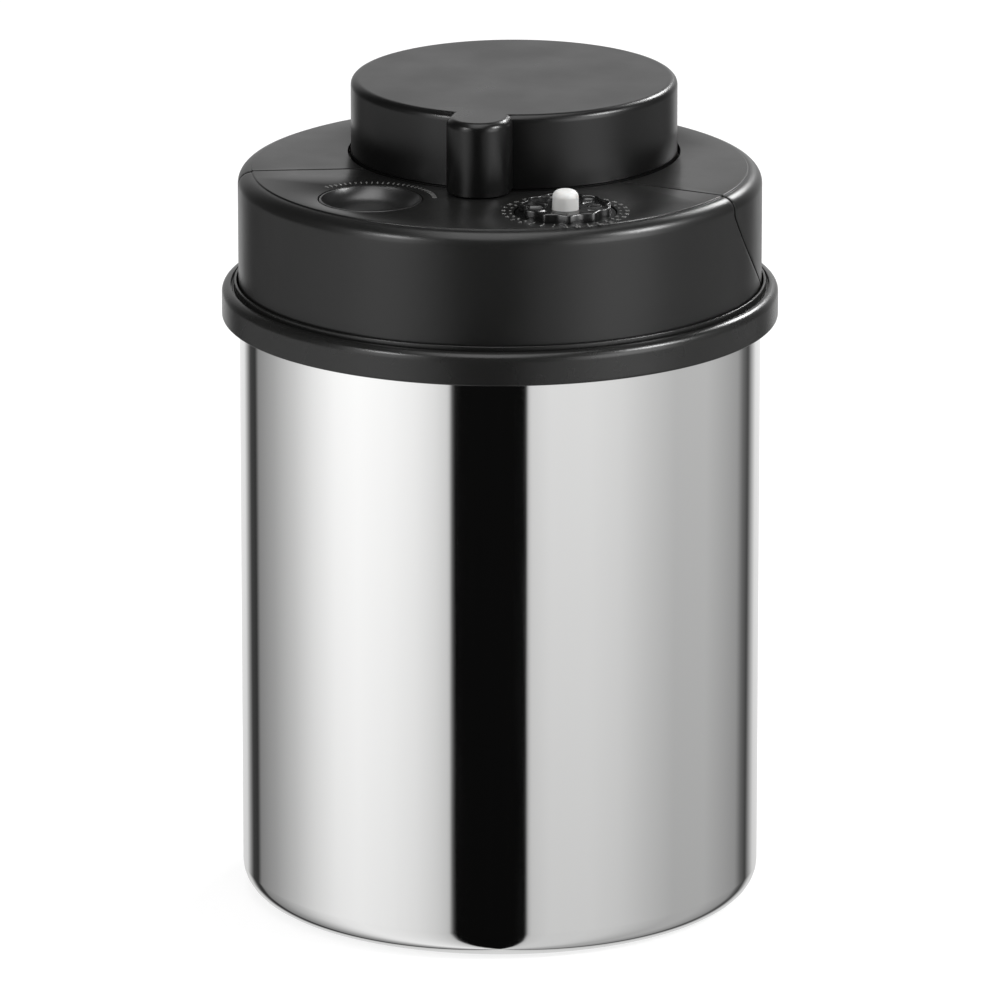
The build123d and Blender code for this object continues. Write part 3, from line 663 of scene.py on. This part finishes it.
button_under = lid_top - dish_depth - button_floor
button_section = np.vstack(
    [
        [[0, lid_top - dish_depth], [dish_floor - support, lid_top - dish_depth]],
        dish(),
        rounded(
            [
                (dish_radius + button_rounding / 2, lid_top, 0),
                (button_radius, lid_top, button_rounding),
                (button_radius, lid_top - button_height, small_rounding),
                (button_radius - button_wall, lid_top - button_height, small_rounding),
                (button_radius - button_wall, button_under, 0),
                (hub_radius, button_under, 0),
                (hub_radius, button_under - hub_height, small_rounding),
                (rod_hole, button_under - hub_height, 0),
                (rod_hole, button_under - rod_cover, 0),
                (0, button_under - rod_cover, 0),
            ]
        ),
    ]
)
button_grid = spun(button_section, button_place, button_columns, closed=False)
new_piece("button", [button_grid], "release", ["release_button"])

# %% [markdown]
# The date wheel has lobes for a fingertip. Seen from above its thin rim is a wave, inside and
# outside, and the wave fades out below, where the wheel is a plain round flange in its pocket.
# One formula does both: the radius of each point is its section's radius less a share of the
# wave. Low ribs on the floor inside, one to each lobe, are a second formula for the height.

# %% The date wheel
wheel_radius = 11.0 * mm
wheel_lobes = 11
wheel_phase = math.radians(-73.06)
wave_power = 0.8
lobe_depth = 0.9 * mm
rim_width = 0.8 * mm
dish_rise = 0.9 * mm
rib_height = 0.45 * mm
rib_start = 5.4 * mm
rib_end = 8.6 * mm
rib_slope = 0.3 * mm
rib_row = 0.2 * mm
rib_peak = 3.2
rib_cut = 2.0
outer_rounding = 0.4 * mm
inner_rounding = 0.35 * mm
quarter_points = 6
wheel_columns = 528
wheel_running = 0.3 * mm
guide_outer = half_width("indicator_guide") + wheel_running
wheel_hub = guide_outer + 1.2 * mm
wheel_eye = peg_radius + 0.45 * mm
hub_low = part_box("date_wheel")[0].z
pocket_low = lid_top - pocket_depth + wheel_running
step_z = lid_top - wheel_running
eye_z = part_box("indicator_guide")[1].z + wheel_running


def wave(turn):
    """How deep the wheel's rim is cut at an angle, from 0 on a lobe to 1 in a notch."""
    return (0.5 - 0.5 * np.cos(wheel_lobes * (turn - wheel_phase))) ** wave_power


def ribs(turn, radius):
    """How high the ribs stand at an angle and a radius, from 0 on the floor to 1 on a rib."""
    across = np.clip(rib_peak * np.cos(wheel_lobes * (turn - wheel_phase)) - rib_cut, 0, 1)
    inner_end = np.clip((radius - rib_start) / rib_slope, 0, 1)
    outer_end = np.clip((rib_end - radius) / rib_slope, 0, 1)
    return across * inner_end * outer_end


def wheel_grid():
    """The wheel's section spun, with the wave taken from the points of the scalloped rim.

    A point of the section is (radius, height, share of the wave).
    """
    outer, inner = wheel_radius, wheel_radius - rim_width
    floor_z = lid_top + dish_rise
    section = [(wheel_eye, eye_z, 0), (wheel_eye, floor_z, 0)]
    for radius in np.arange(rib_start - rib_row / 2, rib_end + rib_row, rib_row):
        section.append((radius, floor_z, 0))
    section += [(inner - inner_rounding, floor_z, 1), (inner, floor_z + inner_rounding, 1)]
    quarter = [(math.sin(a), math.cos(a)) for a in np.linspace(0, math.pi / 2, quarter_points)]
    for sine, cosine in quarter:
        lower = inner_rounding * (1 - sine)
        section.append((inner + inner_rounding * (1 - cosine), wheel_top - lower, 1))
    for sine, cosine in quarter:
        lower = outer_rounding * (1 - cosine)
        section.append((outer - outer_rounding * (1 - sine), wheel_top - lower, 1))
    section += [
        (outer, step_z, 1),
        (flange_radius, step_z, 0),
        (flange_radius, pocket_low, 0),
        (wheel_hub, pocket_low, 0),
        (wheel_hub, hub_low, 0),
        (guide_outer, hub_low, 0),
        (guide_outer, eye_z, 0),
        (wheel_eye, eye_z, 0),
    ]
    section = np.array(section)
    turn = np.linspace(0, 2 * math.pi, wheel_columns + 1)[:, None]
    radius = section[:, 0] - lobe_depth * section[:, 2] * wave(turn)
    on_floor = (section[:, 1] == floor_z) & (section[:, 2] == 0)
    grid = np.empty(radius.shape + (3,))
    grid[..., 0] = dial_place[0] + radius * np.cos(turn)
    grid[..., 1] = dial_place[1] + radius * np.sin(turn)
    grid[..., 2] = section[:, 1] + rib_height * on_floor * ribs(turn, section[:, 0])
    return grid


new_piece("wheel", [wheel_grid()], "date_dial", ["date_wheel"])

# %% [markdown]
# The peg shows whether the can holds a vacuum. It is soft white silicone, a little narrower
# towards its rounded top, so it slides in its guide and is easy to see against the black.

# %% The indicator peg
peg_rounding = 1.7 * mm
peg_taper = 0.1 * mm
peg_seal = 0.75 * mm
seal_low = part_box("indicator_seal")[0].z
seal_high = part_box("indicator_seal")[1].z
peg_section = rounded(
    [
        (0, peg_high, 0),
        (peg_radius - peg_taper, peg_high, peg_rounding),
        (peg_radius, lid_top, 0),
        (peg_radius, seal_high, 0),
        (peg_radius - peg_seal, seal_high, 0),
        (peg_radius - peg_seal, seal_low, 0),
        (peg_radius, seal_low, 0),
        (peg_radius, peg_low, small_rounding),
        (0, peg_low, 0),
    ]
)
peg_grid = spun(peg_section, dial_place, small_columns, closed=False)
new_piece("peg", [peg_grid], "indicator", ["indicator_peg"])

# %% [markdown]
# Two coil springs push the button and the peg back up. A point that goes round and up at an
# even rate draws the coil, and a small circle of wire is swept along it. Real springs shorten
# when they are pressed, but here each keeps the full length of its node's box.

# %% The springs
coil_steps = 40
wire_sides = 12


def spring(name, node, wire, turns):
    """A coil of round wire that fills the node's box.

    x = radius cos(turn), y = radius sin(turn), z rises evenly; the wire's circle adds
    wire cos(round) outwards and wire sin(round) upwards. Each end is closed by a point.
    """
    place = middle(node)
    low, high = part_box(node)[0].z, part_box(node)[1].z
    radius = half_width(node) - wire
    steps = coil_steps * turns
    share = np.linspace(0, 1, steps + 1)
    share = np.concatenate([[0], share, [1]])[:, None]
    thick = np.full((steps + 3, 1), wire)
    thick[[0, -1]] = 0
    turn = 2 * math.pi * turns * share
    ring = np.linspace(0, 2 * math.pi, wire_sides + 1)
    reach = radius + thick * np.cos(ring)
    grid = np.empty(reach.shape + (3,))
    grid[..., 0] = place[0] + reach * np.cos(turn)
    grid[..., 1] = place[1] + reach * np.sin(turn)
    grid[..., 2] = low + wire + (high - low - 2 * wire) * share + thick * np.sin(ring)
    piece = new_piece(name, [grid], "lid", [node])
    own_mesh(piece)


button_wire = 0.5 * mm
button_turns = 7
peg_wire = 0.3 * mm
peg_turns = 9
spring(
    "button_spring", "release_spring", button_wire, button_turns
)
spring("peg_spring", "indicator_spring", peg_wire, peg_turns)

# %% [markdown]
# Round the dial the lid carries the days of a month as plain raised numbers, with a short
# tick for each. They are a fraction of a millimetre high, and only catch the light, so they
# are painted a paler grey: a painted sheen.

# %% Numbers and ticks round the dial
days = 31
tick_inner = flange_radius + 0.75 * mm
tick_length = 0.7 * mm
tick_width = 0.3 * mm
tick_height = 0.15 * mm
number_size = 1.35 * mm
number_circle = tick_inner + 1.9 * mm
draw_in = 0.25
small_step = 0.02 * mm


def block(place, turn, length, width, height):
    """A small box on the lid, its length pointing outwards at an angle, its top drawn in."""
    along = np.array([math.cos(turn), math.sin(turn)])
    across = np.array([-along[1], along[0]])
    corners = []
    for z, draw in ((lid_top - overlap, 0), (lid_top + height, draw_in)):
        for u, v in ((0, -0.5), (1, -0.5), (1, 0.5), (0, 0.5)):
            u = 0.5 + (u - 0.5) * (1 - draw)
            v = v * (1 - draw)
            point = place + along * length * u + across * width * v
            corners.append([point[0], point[1], z])
    faces = [(3, 2, 1, 0), (4, 5, 6, 7), (0, 1, 5, 4), (1, 2, 6, 5), (2, 3, 7, 6), (3, 0, 4, 7)]
    return corners, faces


def blocks(name, places, length, width, height):
    """Many small blocks as one piece of the lid."""
    points, faces = [], []
    for place, turn in places:
        corners, sides = block(place, turn, length, width, height)
        faces += [[len(points) + index for index in side] for side in sides]
        points += corners
    mesh = bpy.data.meshes.new(name)
    mesh.from_pydata(points, [], faces)
    piece = bpy.data.objects.new(name, mesh)
    bpy.context.scene.collection.objects.link(piece)
    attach(piece, "lid")
    print(name, len(mesh.polygons), "faces")


def around_place(place, turn, radius):
    """A point round a place, at an angle and a radius."""
    return place + radius * np.array([math.cos(turn), math.sin(turn)])


def raised_number(text, place, turn):
    """A number as a mesh, its top pointing away from the dial's centre."""
    curve = bpy.data.curves.new("number", "FONT")
    curve.body = text
    curve.size = number_size
    curve.align_x = "CENTER"
    curve.align_y = "CENTER"
    curve.extrude = tick_height / 2
    curve.resolution_u = 2
    source = bpy.data.objects.new("number", curve)
    mesh = bpy.data.meshes.new_from_object(source)
    bpy.data.objects.remove(source)
    co = np.empty(len(mesh.vertices) * 3)
    mesh.vertices.foreach_get("co", co)
    co = co.reshape(-1, 3)
    spin = turn - math.pi / 2
    x = co[:, 0] * math.cos(spin) - co[:, 1] * math.sin(spin) + place[0]
    y = co[:, 0] * math.sin(spin) + co[:, 1] * math.cos(spin) + place[1]
    z = co[:, 2] + lid_top + tick_height / 2 - small_step
    mesh.vertices.foreach_set("co", np.stack([x, y, z], axis=1).ravel())
    return mesh


day_turns = -math.pi / 2 - 2 * math.pi * np.arange(days) / days
tick_places = [(around_place(dial_place, turn, tick_inner), turn) for turn in day_turns]
blocks("dial_ticks", tick_places, tick_length, tick_width, tick_height)
gathered = bmesh.new()
for day, turn in enumerate(day_turns, start=1):
    place = around_place(dial_place, turn, number_circle)
    gathered.from_mesh(raised_number(str(day), place, turn))
number_mesh = bpy.data.meshes.new("dial_numbers")
bmesh.ops.remove_doubles(gathered, verts=gathered.verts, dist=merge_distance)
gathered.to_mesh(number_mesh)
gathered.free()
numbers = bpy.data.objects.new("dial_numbers", number_mesh)
bpy.context.scene.collection.objects.link(numbers)
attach(numbers, "lid")
print("dial numbers", len(number_mesh.polygons), "faces")

# %% [markdown]
# Round the back of the button there is an arc of short raised marks.

# %% Marks round the button
mark_count = 27
mark_start = math.radians(16)
mark_end = math.radians(146)
mark_gap = 2.0 * mm
mark_circle = button_radius + button_gap + mark_gap
mark_length = 1.3 * mm
mark_width = 0.4 * mm
mark_turns = np.linspace(mark_start, mark_end, mark_count)
mark_places = [(around_place(button_place, turn, mark_circle), turn) for turn in mark_turns]
blocks("button_marks", mark_places, mark_length, mark_width, tick_height)

# %% [markdown]
# Materials. Each is a node tree on Object coordinates, in metres, so a pattern keeps its real
# size on every piece. Black moulded plastic has a fine spark eroded grain: a very small bump
# and a roughness that drifts slowly over the surface. One function makes all the blacks. The
# shells have the coarsest grain, the collar and the knob a finer one, and the button and the
# wheel the finest, because fingers rub them. The raised marks are painted a paler grey, a
# painted sheen in place of the light their tiny edges catch, so that shapes so small can still
# be seen.

# %% Black plastic
usual_noise = (0.3, 0.7)


def material(name, colour, roughness, metallic=0.0):
    """A Principled material with its constants on the shader's own sockets."""
    made = bpy.data.materials.new(name)
    made.use_nodes = True
    shader = made.node_tree.nodes["Principled BSDF"]
    shader.inputs["Base Color"].default_value = (*colour, 1)
    shader.inputs["Roughness"].default_value = roughness
    shader.inputs["Metallic"].default_value = metallic
    return made, shader


def add(made, kind, **values):
    """A node of a kind, with its sockets or properties set."""
    node = made.node_tree.nodes.new(kind)
    for key, value in values.items():
        if key in node.inputs:
            node.inputs[key].default_value = value
        else:
            setattr(node, key, value)
    return node


def noise(made, scale, detail=3.0, stretch=(1, 1, 1)):
    """Noise on Object coordinates, stretched along an axis where asked; scale is per metre."""
    place = add(made, "ShaderNodeTexCoord")
    mapping = add(made, "ShaderNodeMapping")
    mapping.inputs["Scale"].default_value = stretch
    texture = add(made, "ShaderNodeTexNoise", Scale=scale, Detail=detail)
    made.node_tree.links.new(place.outputs["Object"], mapping.inputs["Vector"])
    made.node_tree.links.new(mapping.outputs["Vector"], texture.inputs["Vector"])
    return texture


def vary(made, shader, socket, texture, low, high):
    """Drive a socket of the shader with the noise, from low to high."""
    spread = add(made, "ShaderNodeMapRange")
    spread.inputs["From Min"].default_value = usual_noise[0]
    spread.inputs["From Max"].default_value = usual_noise[1]
    spread.inputs["To Min"].default_value = low
    spread.inputs["To Max"].default_value = high
    made.node_tree.links.new(texture.outputs["Fac"], spread.inputs["Value"])
    made.node_tree.links.new(spread.outputs["Result"], shader.inputs[socket])


def bump(made, shader, texture, height, strength=1.0):
    """Raise the surface by the noise: height is the real depth of the grain."""
    node = add(made, "ShaderNodeBump", Distance=height, Strength=strength)
    made.node_tree.links.new(texture.outputs["Fac"], node.inputs["Height"])
    made.node_tree.links.new(node.outputs["Normal"], shader.inputs["Normal"])


def moulding(name, colour, roughness, spread, shine, depth, strength):
    """Moulded plastic, with a grain on its surface.

    Its roughness drifts within the spread round the plain value, shine is how much it mirrors
    face on, and the grain has a depth and a strength.
    """
    made, shader = material(name, colour, roughness)
    shader.inputs["IOR"].default_value = 1.5
    shader.inputs["Specular IOR Level"].default_value = shine
    vary(made, shader, "Roughness", noise(made, drift_scale), *spread)
    bump(made, shader, noise(made, grain_scale, 2), depth, strength)
    return made


drift_scale = 60
grain_scale = 9000
shell_black = (0.0075, 0.0075, 0.0073)
collar_black = (0.0095, 0.0095, 0.0092)
knob_black = (0.003, 0.003, 0.003)
deep_black = (0.004, 0.004, 0.004)
black = moulding("black_moulding", shell_black, 0.32, (0.29, 0.35), 0.42, 0.012 * mm, 0.35)
dark = moulding("dark_moulding", knob_black, 0.3, (0.27, 0.33), 0.38, 0.01 * mm, 0.3)
satin = moulding("satin_moulding", collar_black, 0.27, (0.25, 0.3), 0.45, 0.01 * mm, 0.3)
glossy = moulding("glossy_moulding", deep_black, 0.26, (0.24, 0.29), 0.85, 0.008 * mm, 0.25)
sheen = moulding("sheen_moulding", deep_black, 0.34, (0.32, 0.37), 1.0, 0.008 * mm, 0.25)
# Painted sheen: the raised marks' paler grey stands in for the light their tiny edges catch.
painted_sheen_marks, shader = material("raised_marks_painted_sheen", (0.13, 0.13, 0.127), 0.35)
vary(painted_sheen_marks, shader, "Roughness", noise(painted_sheen_marks, 800), 0.3, 0.42)

# %% [markdown]
# Polished steel is nearly a mirror. What tells it from a perfect one is a slow waviness from
# drawing the sheet, and faint upright polishing lines that stretch its reflections.

# %% Polished steel
steel, shader = material("polished_steel", (0.88, 0.88, 0.875), 0.05, 1.0)
vary(steel, shader, "Roughness", noise(steel, 900, 4, (1, 1, 0.02)), 0.035, 0.075)
bump(steel, shader, noise(steel, 45, 2, (1, 1, 0.35)), 0.012 * mm, 0.6)

# %% [markdown]
# The soft and hidden materials: white silicone lets a little light in, rubber is dull black,
# acetal is a waxy white plastic, and the small hardware is zinc plated.

# %% Silicone, rubber, acetal and zinc
silicone, shader = material("white_silicone", (0.57, 0.57, 0.56), 0.45)
shader.inputs["Subsurface Weight"].default_value = 0.25
shader.inputs["Subsurface Radius"].default_value = (1.2 * mm, 1.0 * mm, 0.9 * mm)
shader.inputs["Subsurface Scale"].default_value = 1.0
vary(silicone, shader, "Roughness", noise(silicone, 400), 0.4, 0.52)
rubber, shader = material("black_rubber", (0.018, 0.018, 0.018), 0.6)
vary(rubber, shader, "Roughness", noise(rubber, 300), 0.52, 0.68)
acetal, shader = material("white_acetal", (0.75, 0.745, 0.72), 0.35)
vary(acetal, shader, "Roughness", noise(acetal, 200), 0.3, 0.42)
zinc, shader = material("zinc_steel", (0.6, 0.6, 0.61), 0.3, 1.0)
vary(zinc, shader, "Roughness", noise(zinc, 1500), 0.24, 0.4)
finishes = {
    "black_plastic": black,
    "polished_steel": steel,
    "white_silicone": silicone,
    "black_rubber": rubber,
    "white_acetal": acetal,
    "zinc_steel": zinc,
}

# %% [markdown]
# A piece made here takes the finish listed for its name, or the black moulding if none is
# listed. A node of the CAD model that stays takes the finish that the record names for it.

# %% Give every piece its finish
node_slots = {part["node"]: part["material_slot"] for part in frame["record"]["subparts"]}
for name, node in frame["nodes"].items():
    node.data.materials.clear()
    node.data.materials.append(finishes[node_slots[name]])
own_finish = {
    "can": steel,
    "peg": silicone,
    "button_spring": zinc,
    "peg_spring": zinc,
    "collar": satin,
    "knob": dark,
    "wheel": glossy,
    "button": sheen,
    "dial_ticks": painted_sheen_marks,
    "dial_numbers": painted_sheen_marks,
    "button_marks": painted_sheen_marks,
}
for piece in bpy.data.objects:
    if piece.type == "MESH" and not piece.data.materials:
        piece.data.materials.append(own_finish.get(piece.name, black))

# %% [markdown]
# The studio. A polished can shows its surroundings, so they are designed: pale walls to the
# left and right, a dark gap where the camera stands, and a dark edge on each side that draws
# the can's outline. They are the world's own light, by direction, and the floor doesn't
# hide them from the metal. From a little below the horizon up, where the black lid looks,
# they give way to one bright box on each side of the camera, and the ceiling is almost
# black. Only reflections see all this. The camera sees plain white, and what isn't shiny
# gets an even pale light.

# %% The world as a studio
camera_turn = math.radians(11.84)
room_stops = [
    (-180, 0.95),
    (-157, 0.85),
    (-150, 0.3),
    (-146, 0.06),
    (-139, 0.04),
    (-135, 0.28),
    (-120, 0.43),
    (-104, 0.67),
    (-91, 0.92),
    (-78, 1.12),
    (-66, 1.18),
    (-50, 1.12),
    (-38, 1.02),
    (-29, 0.88),
    (-22.6, 0.72),
    (-20.8, 0.004),
    (11.6, 0.004),
    (12.8, 0.75),
    (22, 0.84),
    (40, 0.84),
    (55, 0.78),
    (70, 0.65),
    (84, 0.55),
    (104, 0.55),
    (120, 0.44),
    (131, 0.36),
    (137, 0.16),
    (144, 0.06),
    (151, 0.5),
    (157, 0.85),
    (180, 0.95),
]
back_stops = [
    (-180, 0.75),
    (-158, 0.5),
    (-138, 0.05),
    (-70, 0.1),
    (-56, 2.5),
    (-41, 2.5),
    (-30, 0.3),
    (-22, 0.03),
    (20, 0.03),
    (29, 0.3),
    (42, 4.0),
    (64, 4.0),
    (77, 0.4),
    (134, 0.05),
    (152, 0.6),
    (180, 0.75),
]
low_share = 0.76
low_blend = (-18.6, -14.6)
wall_blend = (-11, -7.5)
ceiling_blend = (20, 30)
ambient = 0.5
ceiling_level = 0.03


def studio_world():
    """The world's colour by direction, and by the kind of ray that asks for it."""
    world = bpy.data.worlds.new("studio")
    bpy.context.scene.world = world
    world.use_nodes = True
    tree = world.node_tree
    tree.nodes.clear()
    link = tree.links.new

    def node(kind, **values):
        return add(world, kind, **values)

    place = node("ShaderNodeTexCoord")
    split = node("ShaderNodeSeparateXYZ")
    turned = node("ShaderNodeVectorRotate", rotation_type="Z_AXIS")
    turned.inputs["Angle"].default_value = -camera_turn
    link(place.outputs["Generated"], turned.inputs["Vector"])
    link(turned.outputs["Vector"], split.inputs["Vector"])
    forward = node("ShaderNodeMath", operation="MULTIPLY")
    forward.inputs[1].default_value = -1
    link(split.outputs["Y"], forward.inputs[0])
    angle = node("ShaderNodeMath", operation="ARCTAN2")
    link(split.outputs["X"], angle.inputs[0])
    link(forward.outputs["Value"], angle.inputs[1])
    share = node("ShaderNodeMapRange")
    share.inputs["From Min"].default_value = -math.pi
    share.inputs["From Max"].default_value = math.pi
    link(angle.outputs["Value"], share.inputs["Value"])

    def levels(stops, scale=1.0):
        """A grey ramp over the angle, from its list of degrees and levels, times a scale.

        A ramp's colours go up to 1, so the levels are divided by the highest one, and the
        whole ramp is multiplied by it again.
        """
        peak = max(level for degrees, level in stops)
        shades = node("ShaderNodeValToRGB")
        ramp = shades.color_ramp
        ramp.elements.remove(ramp.elements[1])
        for index, (degrees, level) in enumerate(stops):
            place_share = (degrees + 180) / 360
            element = ramp.elements[0] if index == 0 else ramp.elements.new(place_share)
            element.position = place_share
            element.color = (*[level / peak] * 3, 1)
        link(share.outputs["Result"], shades.inputs["Fac"])
        scaled = node("ShaderNodeVectorMath", operation="SCALE")
        scaled.inputs["Scale"].default_value = scale * peak
        link(shades.outputs["Color"], scaled.inputs[0])
        return scaled.outputs["Vector"]

    def above(low, high, under, over):
        """Blend from one colour to another between two elevations, in degrees."""
        height = node("ShaderNodeMapRange")
        height.inputs["From Min"].default_value = math.sin(math.radians(low))
        height.inputs["From Max"].default_value = math.sin(math.radians(high))
        link(split.outputs["Z"], height.inputs["Value"])
        blend = node("ShaderNodeMix", data_type="RGBA")
        factor, first, second = blend.inputs[0], blend.inputs[6], blend.inputs[7]
        link(height.outputs["Result"], factor)
        link(under, first)
        if isinstance(over, float):
            second.default_value = (over, over, over, 1)
        else:
            link(over, second)
        return blend.outputs[2]

    low_walls = above(*low_blend, levels(room_stops, low_share), levels(room_stops))
    walls = above(*wall_blend, low_walls, levels(back_stops))
    room = above(*ceiling_blend, walls, ceiling_level)
    rays = node("ShaderNodeLightPath")
    lit = node("ShaderNodeBackground")
    lit.inputs["Strength"].default_value = ambient
    seen = node("ShaderNodeBackground")
    shown = node("ShaderNodeBackground")
    link(room, shown.inputs["Color"])
    first = node("ShaderNodeMixShader")
    link(rays.outputs["Is Glossy Ray"], first.inputs["Fac"])
    link(lit.outputs["Background"], first.inputs[1])
    link(shown.outputs["Background"], first.inputs[2])
    seen.inputs["Color"].default_value = (1, 1, 1, 1)
    second = node("ShaderNodeMixShader")
    link(rays.outputs["Is Camera Ray"], second.inputs["Fac"])
    link(first.outputs["Shader"], second.inputs[1])
    link(seen.outputs["Background"], second.inputs[2])
    out = node("ShaderNodeOutputWorld")
    link(second.outputs["Shader"], out.inputs["Surface"])


studio_world()

# %% [markdown]
# The floor is white. What the camera sees of it is mostly its own pale glow, with a part of
# the real shading mixed in, so the shadow under the can stays and the rest is clean.

# %% The floor
floor_size = 6.0
floor_glow = 1.1
shade_share = 0.3
floor_mesh = bpy.data.meshes.new("floor")
floor_corners = [(-1, -1), (1, -1), (1, 1), (-1, 1)]
floor_points = [(x * floor_size, y * floor_size, -small_step) for x, y in floor_corners]
floor_mesh.from_pydata(floor_points, [], [(0, 1, 2, 3)])
floor = bpy.data.objects.new("floor", floor_mesh)
bpy.context.scene.collection.objects.link(floor)
floor.visible_glossy = False
floor_finish, shader = material("floor_white", (0.9, 0.9, 0.9), 0.8)
shader.inputs["Specular IOR Level"].default_value = 0.0
tree = floor_finish.node_tree
glow = add(floor_finish, "ShaderNodeEmission", Strength=floor_glow)
rays = add(floor_finish, "ShaderNodeLightPath")
share = add(floor_finish, "ShaderNodeMath", operation="MULTIPLY")
share.inputs[1].default_value = 1 - shade_share
mixed = add(floor_finish, "ShaderNodeMixShader")
tree.links.new(rays.outputs["Is Camera Ray"], share.inputs[0])
tree.links.new(share.outputs["Value"], mixed.inputs["Fac"])
tree.links.new(shader.outputs["BSDF"], mixed.inputs[1])
tree.links.new(glow.outputs["Emission"], mixed.inputs[2])
tree.links.new(mixed.outputs["Shader"], tree.nodes["Material Output"].inputs["Surface"])
floor_mesh.materials.append(floor_finish)

# %% [markdown]
# Four soft lights, as in a product studio. A long one overhead makes the shadow and the
# sheen on the tops. Boxes to the left, to the right and behind draw the bright lines along
# the roundings, because a curved edge always has a part that mirrors each of them.

# %% The lights
aim_point = Vector((0, 0, 0.16))


def soft_light(name, place, width, height, power):
    """A rectangular soft light that faces the lid."""
    data = bpy.data.lights.new(name, "AREA")
    data.shape = "RECTANGLE"
    data.size, data.size_y = width, height
    data.energy = power
    lamp = bpy.data.objects.new(name, data)
    bpy.context.scene.collection.objects.link(lamp)
    lamp.location = place
    lamp.rotation_euler = (aim_point - Vector(place)).to_track_quat("-Z", "Y").to_euler()


def around(turn, distance, height):
    """A place round the can: degrees to the right of the camera, distance and height."""
    angle = camera_turn + math.radians(turn)
    return (distance * math.sin(angle), -distance * math.cos(angle), height)


soft_light("overhead", (0, -0.2, 1.6), width=0.85, height=1.8, power=12.5)
soft_light("left_box", around(-50, 1.2, 0.84), width=0.3, height=0.3, power=5.0)
soft_light("right_box", around(72, 1.2, 0.98), width=0.4, height=0.36, power=16.0)
soft_light("back_box", around(150, 1.3, 0.95), width=0.45, height=0.26, power=9.5)

# %% [markdown]
# The camera stands far away with a long lens, a little to the right and looking down, as the
# picture's ellipses say. Its place is written as a distance, a height and two angles.

# %% The camera
camera_distance = 2.3996
camera_height = 0.7909
camera_pitch = math.radians(16.143)
lens_mm = 372.8
camera_data = bpy.data.cameras.new("camera")
camera_data.lens = lens_mm
camera_data.sensor_width = 36.0
camera = bpy.data.objects.new("camera", camera_data)
bpy.context.scene.collection.objects.link(camera)
camera.location = around(0, camera_distance, camera_height)
camera.rotation_euler = (math.pi / 2 - camera_pitch, 0, camera_turn)
bpy.context.scene.camera = camera
bpy.context.scene.view_settings.view_transform = "Standard"
